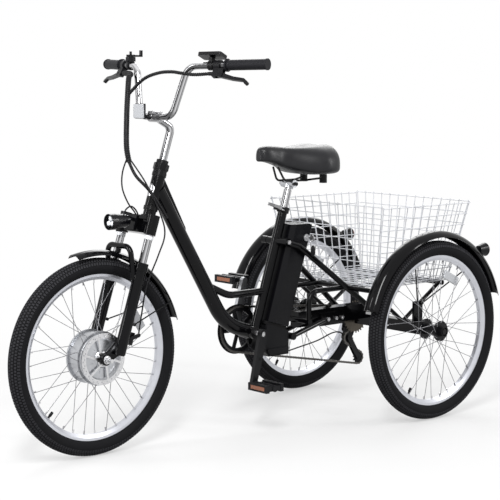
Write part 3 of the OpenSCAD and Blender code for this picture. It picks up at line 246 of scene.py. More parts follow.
def finish_material(
    name, colour, rough, metallic=0.0, coat=0.0, grain=(40.0, 0.15), bump=(0.0, 0.0), shine=0.5
):
    """Material with a slightly uneven colour and roughness and an optional fine relief.

    grain is the scale and the strength of the unevenness, and bump those of the relief.
    """
    mat = bpy.data.materials.new(name)
    mat.use_nodes = True
    tree = mat.node_tree
    shader = tree.nodes["Principled BSDF"]
    coords = tree.nodes.new("ShaderNodeTexCoord")
    noise = tree.nodes.new("ShaderNodeTexNoise")
    noise.inputs["Scale"].default_value = grain[0]
    noise.inputs["Detail"].default_value = 4.0
    tree.links.new(coords.outputs["Object"], noise.inputs["Vector"])
    tint = tree.nodes.new("ShaderNodeMix")
    tint.data_type = "RGBA"
    dark = tuple(c * (1 - grain[1]) for c in colour)
    light = tuple(min(1.0, c * (1 + grain[1])) for c in colour)
    tint.inputs[6].default_value = (*dark, 1)
    tint.inputs[7].default_value = (*light, 1)
    tree.links.new(noise.outputs["Fac"], tint.inputs[0])
    tree.links.new(tint.outputs[2], shader.inputs["Base Color"])
    span = tree.nodes.new("ShaderNodeMapRange")
    span.inputs["To Min"].default_value = max(0.02, rough * (1 - grain[1]))
    span.inputs["To Max"].default_value = min(1.0, rough * (1 + grain[1]))
    tree.links.new(noise.outputs["Fac"], span.inputs["Value"])
    tree.links.new(span.outputs["Result"], shader.inputs["Roughness"])
    shader.inputs["Metallic"].default_value = metallic
    shader.inputs["Coat Weight"].default_value = coat
    shader.inputs["Coat Roughness"].default_value = 0.06
    shader.inputs["Specular IOR Level"].default_value = shine
    if bump[1]:
        fine = tree.nodes.new("ShaderNodeTexNoise")
        fine.inputs["Scale"].default_value = bump[0]
        fine.inputs["Detail"].default_value = 3.0
        relief = tree.nodes.new("ShaderNodeBump")
        relief.inputs["Strength"].default_value = bump[1]
        relief.inputs["Distance"].default_value = 0.0004
        tree.links.new(coords.outputs["Object"], fine.inputs["Vector"])
        tree.links.new(fine.outputs["Fac"], relief.inputs["Height"])
        tree.links.new(relief.outputs["Normal"], shader.inputs["Normal"])
    return mat


def lens_material(name, colour, rough):
    """Moulded lens with a fine prism relief."""
    mat = finish_material(name, colour, rough, grain=(120.0, 0.08), coat=0.7)
    tree = mat.node_tree
    shader = tree.nodes["Principled BSDF"]
    coords = tree.nodes["Texture Coordinate"]
    cells = tree.nodes.new("ShaderNodeTexVoronoi")
    cells.inputs["Scale"].default_value = 220.0
    relief = tree.nodes.new("ShaderNodeBump")
    relief.inputs["Strength"].default_value = 0.6
    relief.inputs["Distance"].default_value = 0.0008
    tree.links.new(coords.outputs["Object"], cells.inputs["Vector"])
    tree.links.new(cells.outputs["Distance"], relief.inputs["Height"])
    tree.links.new(relief.outputs["Normal"], shader.inputs["Normal"])
    return mat


def tone_ramp(tree, value, tones):
    """Grey ramp over a value from -1 to 1."""
    span = tree.nodes.new("ShaderNodeMapRange")
    span.inputs["From Min"].default_value = -1.0
    ramp = tree.nodes.new("ShaderNodeValToRGB")
    band = ramp.color_ramp.elements
    for place, _ in tones[2:]:
        band.new(place)
    for element, (place, tone) in zip(band, tones):
        element.position = place
        element.color = (tone, tone, tone * 1.02, 1)
    tree.links.new(value, span.inputs["Value"])
    tree.links.new(span.outputs["Result"], ramp.inputs[0])
    return ramp.outputs[0]


# Painted reflection bands in the chrome's colour: share of the way across and tone, for upright and for level
# tubes

UPRIGHT_REFLECTION_TONES = [
    (0.0, 0.60), (0.16, 0.14), (0.36, 0.10), (0.50, 0.34), (0.64, 0.72), (0.76, 0.16), (0.9, 0.5),
]
LEVEL_REFLECTION_TONES = [(0.0, 0.42), (0.30, 0.08), (0.44, 0.10), (0.58, 0.72), (0.80, 0.85), (1.0, 0.50)]
REFLECTION_BANDS_ACROSS = (-0.747, 0.665, 0.0)


def chrome_material():
    """Polished chrome with painted reflections: dark and bright bands, set by the way the surface faces,
    painted into its colour in place of what a studio's walls leave in it.
    """
    mat = finish_material("Chrome", (0.80, 0.80, 0.81), 0.07, metallic=1.0, grain=(15, 0.12))
    tree = mat.node_tree
    facing = tree.nodes.new("ShaderNodeNewGeometry")
    split = tree.nodes.new("ShaderNodeSeparateXYZ")
    tree.links.new(facing.outputs["Normal"], split.inputs[0])
    across = tree.nodes.new("ShaderNodeVectorMath")
    across.operation = "DOT_PRODUCT"
    across.inputs[1].default_value = REFLECTION_BANDS_ACROSS
    tree.links.new(facing.outputs["Normal"], across.inputs[0])
    upright = tone_ramp(tree, across.outputs["Value"], UPRIGHT_REFLECTION_TONES)
    level = tone_ramp(tree, split.outputs["Z"], LEVEL_REFLECTION_TONES)
    steep = tree.nodes.new("ShaderNodeMath")
    steep.operation = "MULTIPLY"
    tree.links.new(split.outputs["Z"], steep.inputs[0])
    tree.links.new(split.outputs["Z"], steep.inputs[1])
    blend = tree.nodes.new("ShaderNodeMapRange")
    blend.inputs["From Min"].default_value = 0.08
    blend.inputs["From Max"].default_value = 0.4
    tree.links.new(steep.outputs[0], blend.inputs["Value"])
    mix = tree.nodes.new("ShaderNodeMix")
    mix.data_type = "RGBA"
    tree.links.new(blend.outputs["Result"], mix.inputs[0])
    tree.links.new(upright, mix.inputs[6])
    tree.links.new(level, mix.inputs[7])
    # The painted reflection bands become the chrome's base colour.
    tree.links.new(mix.outputs[2], tree.nodes["Principled BSDF"].inputs["Base Color"])
    return mat


MATERIALS = {}


def make_materials():
    """All finishes by name."""
    m = MATERIALS
    m["paint"] = finish_material(
        "Black paint", (0.002, 0.002, 0.0025), 0.12, coat=0.08, grain=(30, 0.2), shine=0.12
    )
    m["satin"] = finish_material(
        "Satin black", (0.004, 0.004, 0.0045), 0.34, grain=(60, 0.2), bump=(900, 0.1), shine=0.15
    )
    m["plastic"] = finish_material(
        "Black plastic", (0.005, 0.005, 0.006), 0.42, grain=(80, 0.15), bump=(1400, 0.25), shine=0.15
    )
    m["gloss"] = finish_material(
        "Gloss black case", (0.003, 0.003, 0.004), 0.24, coat=0.06, grain=(40, 0.15), shine=0.13
    )
    # Painted shade: the tyre gets a darker colour and the tread blocks a lighter one, so the gaps between the
    # blocks read as shaded.
    m["tyre"] = finish_material(
        "Tyre rubber", (0.009, 0.009, 0.010), 0.7, grain=(90, 0.2), bump=(500, 0.3), shine=0.05
    )
    # Tread blocks lighter than the tyre under them, against the painted shade of the gaps.
    m["tread"] = finish_material(
        "Tread lighter than its shaded gaps", (0.026, 0.026, 0.029), 0.75, grain=(90, 0.2), bump=(500, 0.3), shine=0.1
    )
    m["rubber"] = finish_material(
        "Grip rubber", (0.008, 0.008, 0.010), 0.55, grain=(120, 0.2), bump=(900, 0.3), shine=0.15
    )
    m["chrome"] = chrome_material()
    m["rim"] = finish_material("Rim alloy", (0.54, 0.55, 0.59), 0.3, metallic=0.85, grain=(35, 0.12))
    m["alloy"] = finish_material(
        "Cast alloy", (0.46, 0.47, 0.49), 0.3, metallic=0.95, grain=(50, 0.15), bump=(700, 0.12)
    )
    m["steel"] = finish_material("Plated steel", (0.60, 0.60, 0.61), 0.28, metallic=1.0, grain=(90, 0.15))
    m["spoke"] = finish_material(
        "Stainless wire", (0.20, 0.20, 0.21), 0.35, metallic=0.7, grain=(60, 0.1), shine=0.3
    )
    m["anodised"] = finish_material(
        "Black alloy", (0.005, 0.005, 0.006), 0.3, metallic=0.1, grain=(70, 0.2), shine=0.2
    )
    m["chain"] = finish_material("Oiled chain", (0.10, 0.095, 0.09), 0.36, metallic=1.0, grain=(200, 0.3))
    m["cog"] = finish_material("Brown steel", (0.085, 0.075, 0.062), 0.4, metallic=1.0, grain=(120, 0.25))
    m["wire"] = finish_material("White coated wire", (0.52, 0.53, 0.56), 0.35, grain=(60, 0.06))
    m["vinyl"] = finish_material(
        "Saddle vinyl", (0.007, 0.007, 0.0085), 0.38, grain=(70, 0.2), bump=(420, 0.4), shine=0.3
    )
    m["sleeve"] = finish_material("Cable sleeve", (0.004, 0.004, 0.005), 0.45, grain=(90, 0.2), shine=0.18)
    m["housing"] = finish_material(
        "Lamp housing", (0.003, 0.003, 0.004), 0.22, coat=0.08, grain=(50, 0.15), shine=0.16
    )
    m["red"] = lens_material("Red lens", (0.45, 0.010, 0.010), 0.16)
    m["amber"] = lens_material("Amber reflector", (0.22, 0.055, 0.008), 0.18)
    m["clear"] = lens_material("Clear lens", (0.80, 0.82, 0.85), 0.08)
    m["pale"] = lens_material("Pale reflector", (0.40, 0.41, 0.43), 0.2)
    m["screen"] = finish_material("Dark screen", (0.020, 0.022, 0.026), 0.06, coat=1.0, grain=(20, 0.1))
    m["plate"] = finish_material("Bare plate", (0.42, 0.42, 0.43), 0.25, metallic=1.0, grain=(80, 0.1))


NODE_FINISH = {
    "paint": "main_frame rear_frame basket_carrier fork_crown fork_lowers front_fender rear_fenders",
    "satin": "saddle_frame battery_rail headset_nut seat_clamp display bearings axle_left drive_axle",
    "plastic": "controller_box pedal_left pedal_right jockey_upper jockey_lower bar_perches thumb_shifter",
    "gloss": "battery_case",
    "tyre": "tyre_left tyre_right tyre_front",
    "rubber": "grips",
    "chrome": "stem handlebar seatpost quick_release_lever",
    "rim": "rim_left rim_right rim_front",
    "alloy": "hub_motor",
    "steel": "frame_bolts crank_spindle front_axle brake_rotor battery_lock",
    "spoke": "spokes_left spokes_right spokes_front",
    "anodised": "hub_left hub_right crank_arms chainring brake_caliper derailleur"
    " brake_lever_left brake_lever_right",
    "chain": "chain",
    "cog": "freewheel",
    "wire": "basket",
    "vinyl": "saddle_cushion",
    "sleeve": "shift_cable cable_loom front_brake_cable",
    "housing": "headlight tail_lamps",
}


# Settings shown in the sidebar


class TricycleSettings(bpy.types.PropertyGroup):
    """Sizes of the small pieces, in millimetres unless said otherwise."""

    tread_rows: bpy.props.IntProperty(name="Tread rows", default=7, min=3, max=9)
    tread_blocks: bpy.props.IntProperty(name="Blocks in a row", default=190, min=60, max=260)
    tread_height: bpy.props.FloatProperty(name="Tread height", default=2.2, min=0.8, max=3.0)
    nipple_length: bpy.props.FloatProperty(name="Nipple length", default=11.0, min=6.0, max=16.0)
    cable_steps: bpy.props.IntProperty(name="Cable smoothness", default=10, min=3, max=20)
    key_light: bpy.props.FloatProperty(name="Key light, W", default=170.0, min=0.0, max=2000.0)
    fill_light: bpy.props.FloatProperty(name="Fill light, W", default=80.0, min=0.0, max=2000.0)


def settings():
    """Settings of the scene in use."""
    return bpy.context.scene.tricycle


class Piece:
    """Shared base of the piece operators."""

    bl_options = {"REGISTER", "UNDO"}


def paint_faces(node, name, inside):
    """Gives some faces of a CAD piece a second finish, chosen by their middle and their normal."""
    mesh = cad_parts[node].data
    mesh.materials.append(MATERIALS[name])
    for face in mesh.polygons:
        if inside(face.center, face.normal):
            face.material_index = len(mesh.materials) - 1


def on_stanchion(p, normal):
    """True on the bare tubes of the fork below the crown."""
    q = p - HEAD
    beside = math.hypot(q.dot(AHEAD) - STANCHION_AHEAD * MM, abs(q.y) - STANCHION_BESIDE * MM)
    return beside < STANCHION_REACH * MM and q.dot(ALONG) < CROWN_FOOT * MM


def on_saddle_clamp(p, normal):
    """True on the clamp that holds the saddle rails."""
    q = (p - SADDLE) / MM
    barrel = math.hypot(q.x, q.y) < BARREL_RADIUS and q.z < BARREL_TOP
    jaw = math.hypot(q.x, q.z - JAW_HEIGHT) < JAW_RADIUS and abs(q.y) < JAW_HALF
    return barrel or jaw


class TRICYCLE_OT_finishes(Piece, bpy.types.Operator):
    """Give every CAD piece its finish"""

    bl_idname = "tricycle.finishes"
    bl_label = "Finishes"

    def execute(self, context):
        make_materials()
        for name, nodes in NODE_FINISH.items():
            for node in nodes.split():
                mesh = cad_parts[node].data
                mesh.materials.clear()
                mesh.materials.append(MATERIALS[name])
        paint_faces("fork_crown", "chrome", on_stanchion)
        paint_faces("saddle_frame", "alloy", on_saddle_clamp)
        paint_faces("crank_arms", "alloy", lambda p, normal: p.y < 0)
        upward = [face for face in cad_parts["display"].data.polygons if face.normal.z > 0.2]
        front = max(upward, key=lambda face: face.area).normal.copy()
        paint_faces("display", "screen", lambda p, normal: normal.dot(front) > 0.99)
        return {"FINISHED"}


def ring_group():
    """Node group that sets equal blocks round a circle."""
    group = bpy.data.node_groups.new("Blocks round a circle", "GeometryNodeTree")
    face = group.interface
    face.new_socket("Count", in_out="INPUT", socket_type="NodeSocketInt")
    face.new_socket("Radius", in_out="INPUT", socket_type="NodeSocketFloat")
    face.new_socket("Size", in_out="INPUT", socket_type="NodeSocketVector")
    face.new_socket("Tilt", in_out="INPUT", socket_type="NodeSocketVector")
    face.new_socket("Turn", in_out="INPUT", socket_type="NodeSocketVector")
    face.new_socket("Shift", in_out="INPUT", socket_type="NodeSocketVector")
    face.new_socket("Material", in_out="INPUT", socket_type="NodeSocketMaterial")
    face.new_socket("Geometry", in_out="OUTPUT", socket_type="NodeSocketGeometry")
    n = group.nodes.new
    source = n("NodeGroupInput")
    sink = n("NodeGroupOutput")
    circle = n("GeometryNodeMeshCircle")
    cube = n("GeometryNodeMeshCube")
    tilt = n("GeometryNodeTransform")
    place = n("GeometryNodeInputPosition")
    align = n("FunctionNodeAlignRotationToVector")
    align.axis = "X"
    align.pivot_axis = "Z"
    copies = n("GeometryNodeInstanceOnPoints")
    turn = n("GeometryNodeTransform")
    real = n("GeometryNodeRealizeInstances")
    paint = n("GeometryNodeSetMaterial")
    link = group.links.new
    link(source.outputs["Count"], circle.inputs["Vertices"])
    link(source.outputs["Radius"], circle.inputs["Radius"])
    link(source.outputs["Size"], cube.inputs["Size"])
    link(cube.outputs["Mesh"], tilt.inputs["Geometry"])
    link(source.outputs["Tilt"], tilt.inputs["Rotation"])
    link(circle.outputs["Mesh"], copies.inputs["Points"])
    link(tilt.outputs["Geometry"], copies.inputs["Instance"])
    link(place.outputs["Position"], align.inputs["Vector"])
    link(align.outputs["Rotation"], copies.inputs["Rotation"])
    link(copies.outputs["Instances"], turn.inputs["Geometry"])
    link(source.outputs["Turn"], turn.inputs["Rotation"])
    link(source.outputs["Shift"], turn.inputs["Translation"])
    link(turn.outputs["Geometry"], real.inputs["Geometry"])
    link(real.outputs["Geometry"], paint.inputs["Geometry"])
    link(source.outputs["Material"], paint.inputs["Material"])
    link(paint.outputs["Geometry"], sink.inputs["Geometry"])
    return group


def ring_mesh(group, values):
    """Mesh of one ring of blocks, lying in the XY plane."""
    holder = bpy.data.objects.new("Ring", bpy.data.meshes.new("Ring"))
    bpy.context.scene.collection.objects.link(holder)
    mod = holder.modifiers.new("Ring", "NODES")
    mod.node_group = group
    for item in group.interface.items_tree:
        if item.in_out == "INPUT":
            mod[item.identifier] = values[item.name]
    holder.update_tag()
    depsgraph = bpy.context.evaluated_depsgraph_get()
    mesh = bpy.data.meshes.new_from_object(holder.evaluated_get(depsgraph))
    bpy.data.objects.remove(holder)
    return mesh


def rings_object(name, rings, centre, material, body):
    """One object from several rings of blocks, with their axis along Y."""
    verts, faces = [], []
    for mesh in rings:
        n = len(verts)
        verts += [Vector((v.co.x, v.co.z, v.co.y)) + centre for v in mesh.vertices]
        faces += [tuple(i + n for i in reversed(p.vertices)) for p in mesh.polygons]
        bpy.data.meshes.remove(mesh)
    return new_object(name, verts, faces, material, body, smooth=False)


# Tread blocks: how far a row can lie from the middle, in degrees, and sizes

TREAD_SPAN = 66
TREAD_ROOT = 1.0
BLOCK_LENGTH = 6.0
MIDDLE_BLOCK = 6.4
SHOULDER_BLOCK = 8.5
SHOULDER_FROM = 0.9


class TRICYCLE_OT_treads(Piece, bpy.types.Operator):
    """Set the tread blocks round the three tyres"""

    bl_idname = "tricycle.treads"
    bl_label = "Tyre treads"

    def execute(self, context):
        s = settings()
        group = ring_group()
        for body, side, centre in wheel_places():
            lo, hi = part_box("tyre_" + side)
            radius, half = (hi.z - lo.z) / 2, (hi.y - lo.y) / 2
            lift = half + (s.tread_height / 2 - TREAD_ROOT) * MM
            rings = []
            for k in range(s.tread_rows):
                a = math.radians(-TREAD_SPAN + 2 * TREAD_SPAN * k / (s.tread_rows - 1))
                wide = MIDDLE_BLOCK if abs(a) < SHOULDER_FROM else SHOULDER_BLOCK
                values = {
                    "Count": s.tread_blocks,
                    "Radius": radius - half + lift * math.cos(a),
                    "Size": ((s.tread_height + TREAD_ROOT) * MM, BLOCK_LENGTH * MM, wide * MM),
                    "Tilt": (0.0, -a, 0.0),
                    "Turn": (0.0, 0.0, math.pi / s.tread_blocks * (k % 2)),
                    "Shift": (0.0, 0.0, lift * math.sin(a)),
                    "Material": MATERIALS["tread"],
                }
                rings.append(ring_mesh(group, values))
            rings_object("tread_" + side, rings, centre, MATERIALS["tread"], body)
        return {"FINISHED"}


# Trim of the wheels, with angles in degrees from straight ahead

SPOKE_COUNT = 36
NIPPLE_WIDTH = 3.6
VALVE_ANGLE = {"front": 316, "left": 300, "right": 300}
VALVE_PROFILE = [(0, 4.5), (4, 4.5), (5, 3.6), (9, 3.6), (10, 5), (24, 4.6)]
REFLECTOR_ANGLE = {"front": 148, "left": 116, "right": 116}
REFLECTOR_RADIUS = 192
REFLECTOR_SIZE = (30, 9, 76)
ROTOR_BOLTS = 6
BOLT_RING = 20
BOLT_PROFILE = [(0, 3.6), (2.2, 3.6), (3, 2.8)]


def outward(degrees):
    """Unit vector in a wheel's plane."""
    a = math.radians(degrees)
    return Vector((math.cos(a), 0, math.sin(a)))


def nipples(side, centre, body, reach):
    """Ring of spoke nipples inside a rim."""
    s = settings()
    values = {
        "Count": SPOKE_COUNT,
        "Radius": reach - s.nipple_length * MM / 2,
        "Size": (s.nipple_length * MM, NIPPLE_WIDTH * MM, NIPPLE_WIDTH * MM),
        "Tilt": (0.0, 0.0, 0.0),
        "Turn": (0.0, 0.0, 0.0),
        "Shift": (0.0, 0.0, 0.0),
        "Material": MATERIALS["steel"],
    }
    ring = ring_mesh(bpy.data.node_groups["Blocks round a circle"], values)
    rings_object("nipples_" + side, [ring], centre, MATERIALS["steel"], body)


def valve(side, centre, body, reach):
    """Valve with its cap, pointing at the hub."""
    out = outward(VALVE_ANGLE[side])
    verts, faces = lathe(VALVE_PROFILE, centre + out * (reach + MM), -out, 16)
    new_object("valve_" + side, verts, faces, MATERIALS["plastic"], body)


def spoke_reflector(side, centre, body):
    """Pale reflector clipped between the spokes."""
    angle = REFLECTOR_ANGLE[side]
    turn = Matrix.Rotation(-math.radians(angle), 3, "Y")
    verts, faces = block(centre + outward(angle) * (REFLECTOR_RADIUS * MM), REFLECTOR_SIZE, turn)
    piece = new_object("spoke_reflector_" + side, verts, faces, MATERIALS["pale"], body, smooth=False)
    bevelled(piece, 3)


def rotor_bolts():
    """Bolts that hold the brake disc on the hub motor."""
    centre = middle("tyre_front")
    centre.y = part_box("brake_rotor")[1].y
    bolts = []
    for k in range(ROTOR_BOLTS):
        p = centre + outward(360 / ROTOR_BOLTS * (k + 0.5)) * (BOLT_RING * MM)
        bolts.append(lathe(BOLT_PROFILE, p, (0, 1, 0), 12))
    verts, faces = joined(bolts)
    new_object("rotor_bolts", verts, faces, MATERIALS["steel"], "wheel_front")


class TRICYCLE_OT_wheel_trim(Piece, bpy.types.Operator):
    """Set spoke nipples, valves, spoke reflectors and disc bolts on the wheels"""

    bl_idname = "tricycle.wheel_trim"
    bl_label = "Wheel trim"

    def execute(self, context):
        for body, side, centre in wheel_places():
            lo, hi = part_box("spokes_" + side)
            reach = (hi.z - lo.z) / 2
            nipples(side, centre, body, reach)
            valve(side, centre, body, reach)
            spoke_reflector(side, centre, body)
        rotor_bolts()
        return {"FINISHED"}


# Lamps and reflectors

LAMP_FACE = HEAD + Vector((166.2, 0, -85)) * MM
LAMP_DISC = [(0, 22.2), (1.5, 22.2), (2, 21)]
LED_COUNT = 3
LED_RING = 10.8
LED_PROFILE = [(1, 8.8), (6, 8.6), (9, 6.6), (10.2, 3)]
TAIL_LENS = [(0, 22.5), (4, 22), (7.5, 16), (9, 6)]
TAIL_LENS_INSET = 24
PEDAL_REFLECTOR = (1.6, 66, 12.5)
PEDAL_REFLECTOR_INSET = 1.2
PEDAL_REFLECTOR_OUT = 3


def headlight_lens():
    """Bright disc in the headlight with three lights on it."""
    verts, faces = lathe(LAMP_DISC, LAMP_FACE, (1, 0, 0), 40)
    new_object("headlight_reflector", verts, faces, MATERIALS["chrome"], "steering")
    leds = []
    for k in range(LED_COUNT):
        a = math.radians(90 + 360 / LED_COUNT * k)
        p = LAMP_FACE + Vector((0, math.cos(a), math.sin(a))) * (LED_RING * MM)
        leds.append(lathe(LED_PROFILE, p, (1, 0, 0), 24))
    verts, faces = joined(leds)
    new_object("headlight_leds", verts, faces, MATERIALS["clear"], "steering")


def tail_lens(name, sign):
    """Domed red lens of a tail lamp."""
    lo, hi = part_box("tail_lamps")
    inset = TAIL_LENS_INSET * MM
    place = Vector((lo.x + MM, sign * (hi.y - inset), hi.z - inset))
    verts, faces = lathe(TAIL_LENS, place, (-1, 0, 0), 36)
    new_object("tail_lens_" + name, verts, faces, MATERIALS["red"], "frame")


def pedal_reflectors(name, sign):
    """Amber reflectors in the two long edges of a pedal."""
    pedal = "pedal_" + name
    lo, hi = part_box(pedal)
    mid = (lo + hi) / 2
    for end, x, out in (("front", hi.x, 1), ("rear", lo.x, -1)):
        place = Vector((x - out * PEDAL_REFLECTOR_INSET * MM, mid.y + sign * PEDAL_REFLECTOR_OUT * MM, mid.z))
        verts, faces = block(place, PEDAL_REFLECTOR)
        piece = "pedal_reflector_%s_%s" % (name, end)
        new_object(piece, verts, faces, MATERIALS["amber"], pedal, smooth=False)


class TRICYCLE_OT_lamps(Piece, bpy.types.Operator):
    """Set the lenses of the lamps and the reflectors"""

    bl_idname = "tricycle.lamps"
    bl_label = "Lamps and reflectors"

    def execute(self, context):
        sides = (("left", 1), ("right", -1))
        headlight_lens()
        for name, sign in sides:
            tail_lens(name, sign)
        for name, sign in sides:
            pedal_reflectors(name, sign)
        return {"FINISHED"}


# Routes of the cables, in millimetres from the middle of the rear axle

LOOM_RIGHT = [
    (902.2, -210.9, 864.8), (924, -150, 862), (960, -112, 850), (986, -84, 796), (1008, -60, 728),
    (1024, -40, 640), (1020, -32, 590),
]
LOOM_LEFT = [
    (902.2, 210.9, 864.8), (922, 165, 862), (938, 125, 866), (942, 80, 870), (946, 20, 866),
    (958, -40, 846), (986, -84, 796),
]
LOOM_FOOT = [(1022, -36, 600), (1012, -10, 550), (984, 22, 505), (946, 30, 452), (920, 30, 414)]
LAMP_WIRE = [
    (1022, -36, 610), (1042, -37, 560), (1050, -28, 512), (1040, -12, 466), (1020, -4, 436), (1002, -2, 404),
]
LAMP_TAIL = [(1006, 4, 404), (1018, 4, 438), (1038, 3, 456), (1058, 2, 448), (1068, 0, 426)]
BRAKE_CABLE = [
    (1022, -36, 606), (1016, -14, 584), (1000, 34, 520), (974, 68, 430), (968, 80, 370), (1000, 88, 308),
    (1046, 90, 220), (1062, 84, 130), (1058, 64.5, 69),
]
SHIFT_CABLE = [
    (529, -27, -22), (514, -40, -42), (489, -42, -62), (439, -42, -87), (360, -42, -90), (268, -45, -80),
    (180, -48, -68), (101, -58, -52), (50, -71, -55), (30, -72, -66),
]


LOOM_RADIUS = 8.6
BRANCH_RADIUS = 5.1
FOOT_RADIUS = 5.0
CABLE_RADIUS = 2.4
WRAP_RIDGE = 0.5
WRAP_PITCH = 7


def places(points):
    """Points of a route in the shared frame."""
    return [at(*p) for p in points]


class TRICYCLE_OT_cables(Piece, bpy.types.Operator):
    """Lay the wrapped loom and the cables"""

    bl_idname = "tricycle.cables"
    bl_label = "Cables"

    def execute(self, context):
        n = settings().cable_steps
        black = MATERIALS["sleeve"]
        wrapped = dict(steps=4 * n, sides=18, wave=WRAP_RIDGE, pitch=WRAP_PITCH)
        branches = [
            tube(places(LOOM_RIGHT), LOOM_RADIUS, **wrapped),
            tube(places(LOOM_LEFT), BRANCH_RADIUS, **wrapped),
            tube(places(LOOM_FOOT), FOOT_RADIUS, n, 16),
        ]
        verts, faces = joined(branches)
        loom = new_object("cable_loom_sleeve", verts, faces, black)
        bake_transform(loom)
        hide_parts("cable_loom")
        verts, faces = joined([tube(places(p), CABLE_RADIUS, n) for p in (LAMP_WIRE, LAMP_TAIL)])
        wire = new_object("lamp_wire", verts, faces, black, "steering")
        verts, faces = tube(places(BRAKE_CABLE), CABLE_RADIUS, n)
        brake = new_object("front_brake_sleeve", verts, faces, black)
        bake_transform(brake)
        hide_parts("front_brake_cable")
        verts, faces = tube(places(SHIFT_CABLE), CABLE_RADIUS, n)
        shift = new_object("shift_sleeve", verts, faces, black, "frame")
        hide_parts("shift_cable")
        return {"FINISHED"}


# Saddle, with heights from the top of the seatpost

SADDLE_LENGTH = 304
SADDLE_AHEAD = 0.457
SADDLE_HALF = 123
NOSE_HALF = 33
TIP_HALF = 6
RIM_HEIGHT = 122
CROWN_RISE = 20
SEAT_DIP = 10
NOSE_LOW = 88
SKIRT_DROP = 49
TAIL_LIFT = 18
LOBE_RISE = 3.5
CHANNEL_DEPTH = 8
SADDLE_ROWS = 72
SADDLE_POINTS = 64


def ease(t):
    """Smooth step from 0 to 1."""
    t = min(max(t, 0.0), 1.0)
    return t * t * (3 - 2 * t)


def bump(y, middle_at, width):
    """Bell shape of height 1."""
    return math.exp(-(((y - middle_at) / width) ** 2))


def saddle_section(t):
    """Ring of points round the saddle at a share t of its length, nose first."""
    ends = 1 - abs(2 * t - 1) ** (9 if t < 0.5 else 7)
    half = NOSE_HALF + (SADDLE_HALF - NOSE_HALF) * ease((t - 0.24) / 0.5)
    half = max(half * math.sqrt(ends), TIP_HALF)
    rise = CROWN_RISE * (1 - abs(2 * t - 1) ** 8) ** 0.6
    top = RIM_HEIGHT + rise - SEAT_DIP * math.sin(math.pi * ease(t))
    low = NOSE_LOW - SKIRT_DROP * ease(t / 0.68) + TAIL_LIFT * ease((t - 0.88) / 0.12)
    mid = low + 0.3 * (top - low)
    rear = ease((t - 0.3) / 0.3) * (1 - ease((t - 0.9) / 0.09))
    ring = []
    for i in range(SADDLE_POINTS):
        a = -2 * math.pi * i / SADDLE_POINTS
        c, s = math.cos(a), math.sin(a)
        y = math.copysign(abs(c) ** 0.75, c)
        if s > 0:
            z = mid + (top - mid) * s ** 0.8
            z += rear * (LOBE_RISE * bump(abs(y), 0.5, 0.22) - CHANNEL_DEPTH * bump(y, 0, 0.17))
        else:
            z = mid - (mid - low) * abs(s) ** 0.5
        ring.append((SADDLE_LENGTH * (SADDLE_AHEAD - t), half * y, z))
    return ring


class TRICYCLE_OT_saddle(Piece, bpy.types.Operator):
    """Make the padded saddle with two lobes and a middle channel"""

    bl_idname = "tricycle.saddle"
    bl_label = "Saddle"

    def execute(self, context):
        count, rows = SADDLE_POINTS, SADDLE_ROWS
        verts, faces = [], []
        for k in range(rows):
            t = 0.5 - 0.496 * math.cos(math.pi * k / (rows - 1))
            verts += [SADDLE + Vector(p) * MM for p in saddle_section(t)]
        for k in range(rows - 1):
            for i in range(count):
                j = (i + 1) % count
                faces.append((k * count + i, k * count + j, (k + 1) * count + j, (k + 1) * count + i))
        faces.append(tuple(range(count - 1, -1, -1)))
        faces.append(tuple(range((rows - 1) * count, rows * count)))
        saddle = new_object("saddle_pad", verts, faces, MATERIALS["vinyl"], "saddle")
        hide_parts("saddle_cushion")
        return {"FINISHED"}


# Small parts on the bar, the fork, the head tube and the battery lock

REFLECTOR_LENS = (10, 46, 44)
REFLECTOR_BACK = (4, 49, 47)
REFLECTOR_ARM = 5.5
FORK_BAND_FOOT = -159
FORK_BAND = [(0, 13.2), (0.8, 14.2), (13.2, 14.2), (14, 13.2)]
PLATE_RADIUS = 21.2
PLATE_CROWN = 1.2
PLATE_HALF_ANGLE = 0.75
PLATE_HALF_HEIGHT = 20
PLATE_ROWS = 8
PLATE_SIDES = 40
KEY_HEAD = [(-1, 11), (1, 11)]
KEY_BLADE = (2, 18, 7)
KEY_RING_RADIUS = 11
KEY_RING_WIRE = 0.9
KEY_RING_POINTS = 24
KEY_RING_OUT = 31
FOB_PROFILE = [(0, 3), (2, 6), (8, 9.5), (26, 10.5), (34, 8), (37, 3)]
FOB_FLATNESS = 0.5


def front_reflector():
    """Square reflector on an arm from the stem clamp."""
    bar = fork(69, 0, 223)
    lens = bar + Vector((66, 0, 18)) * MM
    back = lens - Vector((6.5, 0, 0)) * MM
    pale, plastic = MATERIALS["pale"], MATERIALS["plastic"]
    piece = new_object("front_reflector", *block(lens, REFLECTOR_LENS), pale, "steering", smooth=False)
    bevelled(piece, 3)
    piece = new_object("reflector_back", *block(back, REFLECTOR_BACK), plastic, "steering", smooth=False)
    bevelled(piece, 1)
    root = bar + Vector((22, 0, -4)) * MM
    sag = (root + back) / 2 - Vector((0, 0, 4)) * MM
    new_object("reflector_arm", *tube([root, sag, back], REFLECTOR_ARM), plastic, "steering")


def fork_bands():
    """Clear bands round the fork tubes under the crown."""
    for name, sign in (("right", -1), ("left", 1)):
        low = fork(STANCHION_AHEAD, sign * STANCHION_BESIDE, FORK_BAND_FOOT)
        verts, faces = lathe(FORK_BAND, low, ALONG, 40)
        new_object("fork_band_" + name, verts, faces, MATERIALS["clear"], "steering")


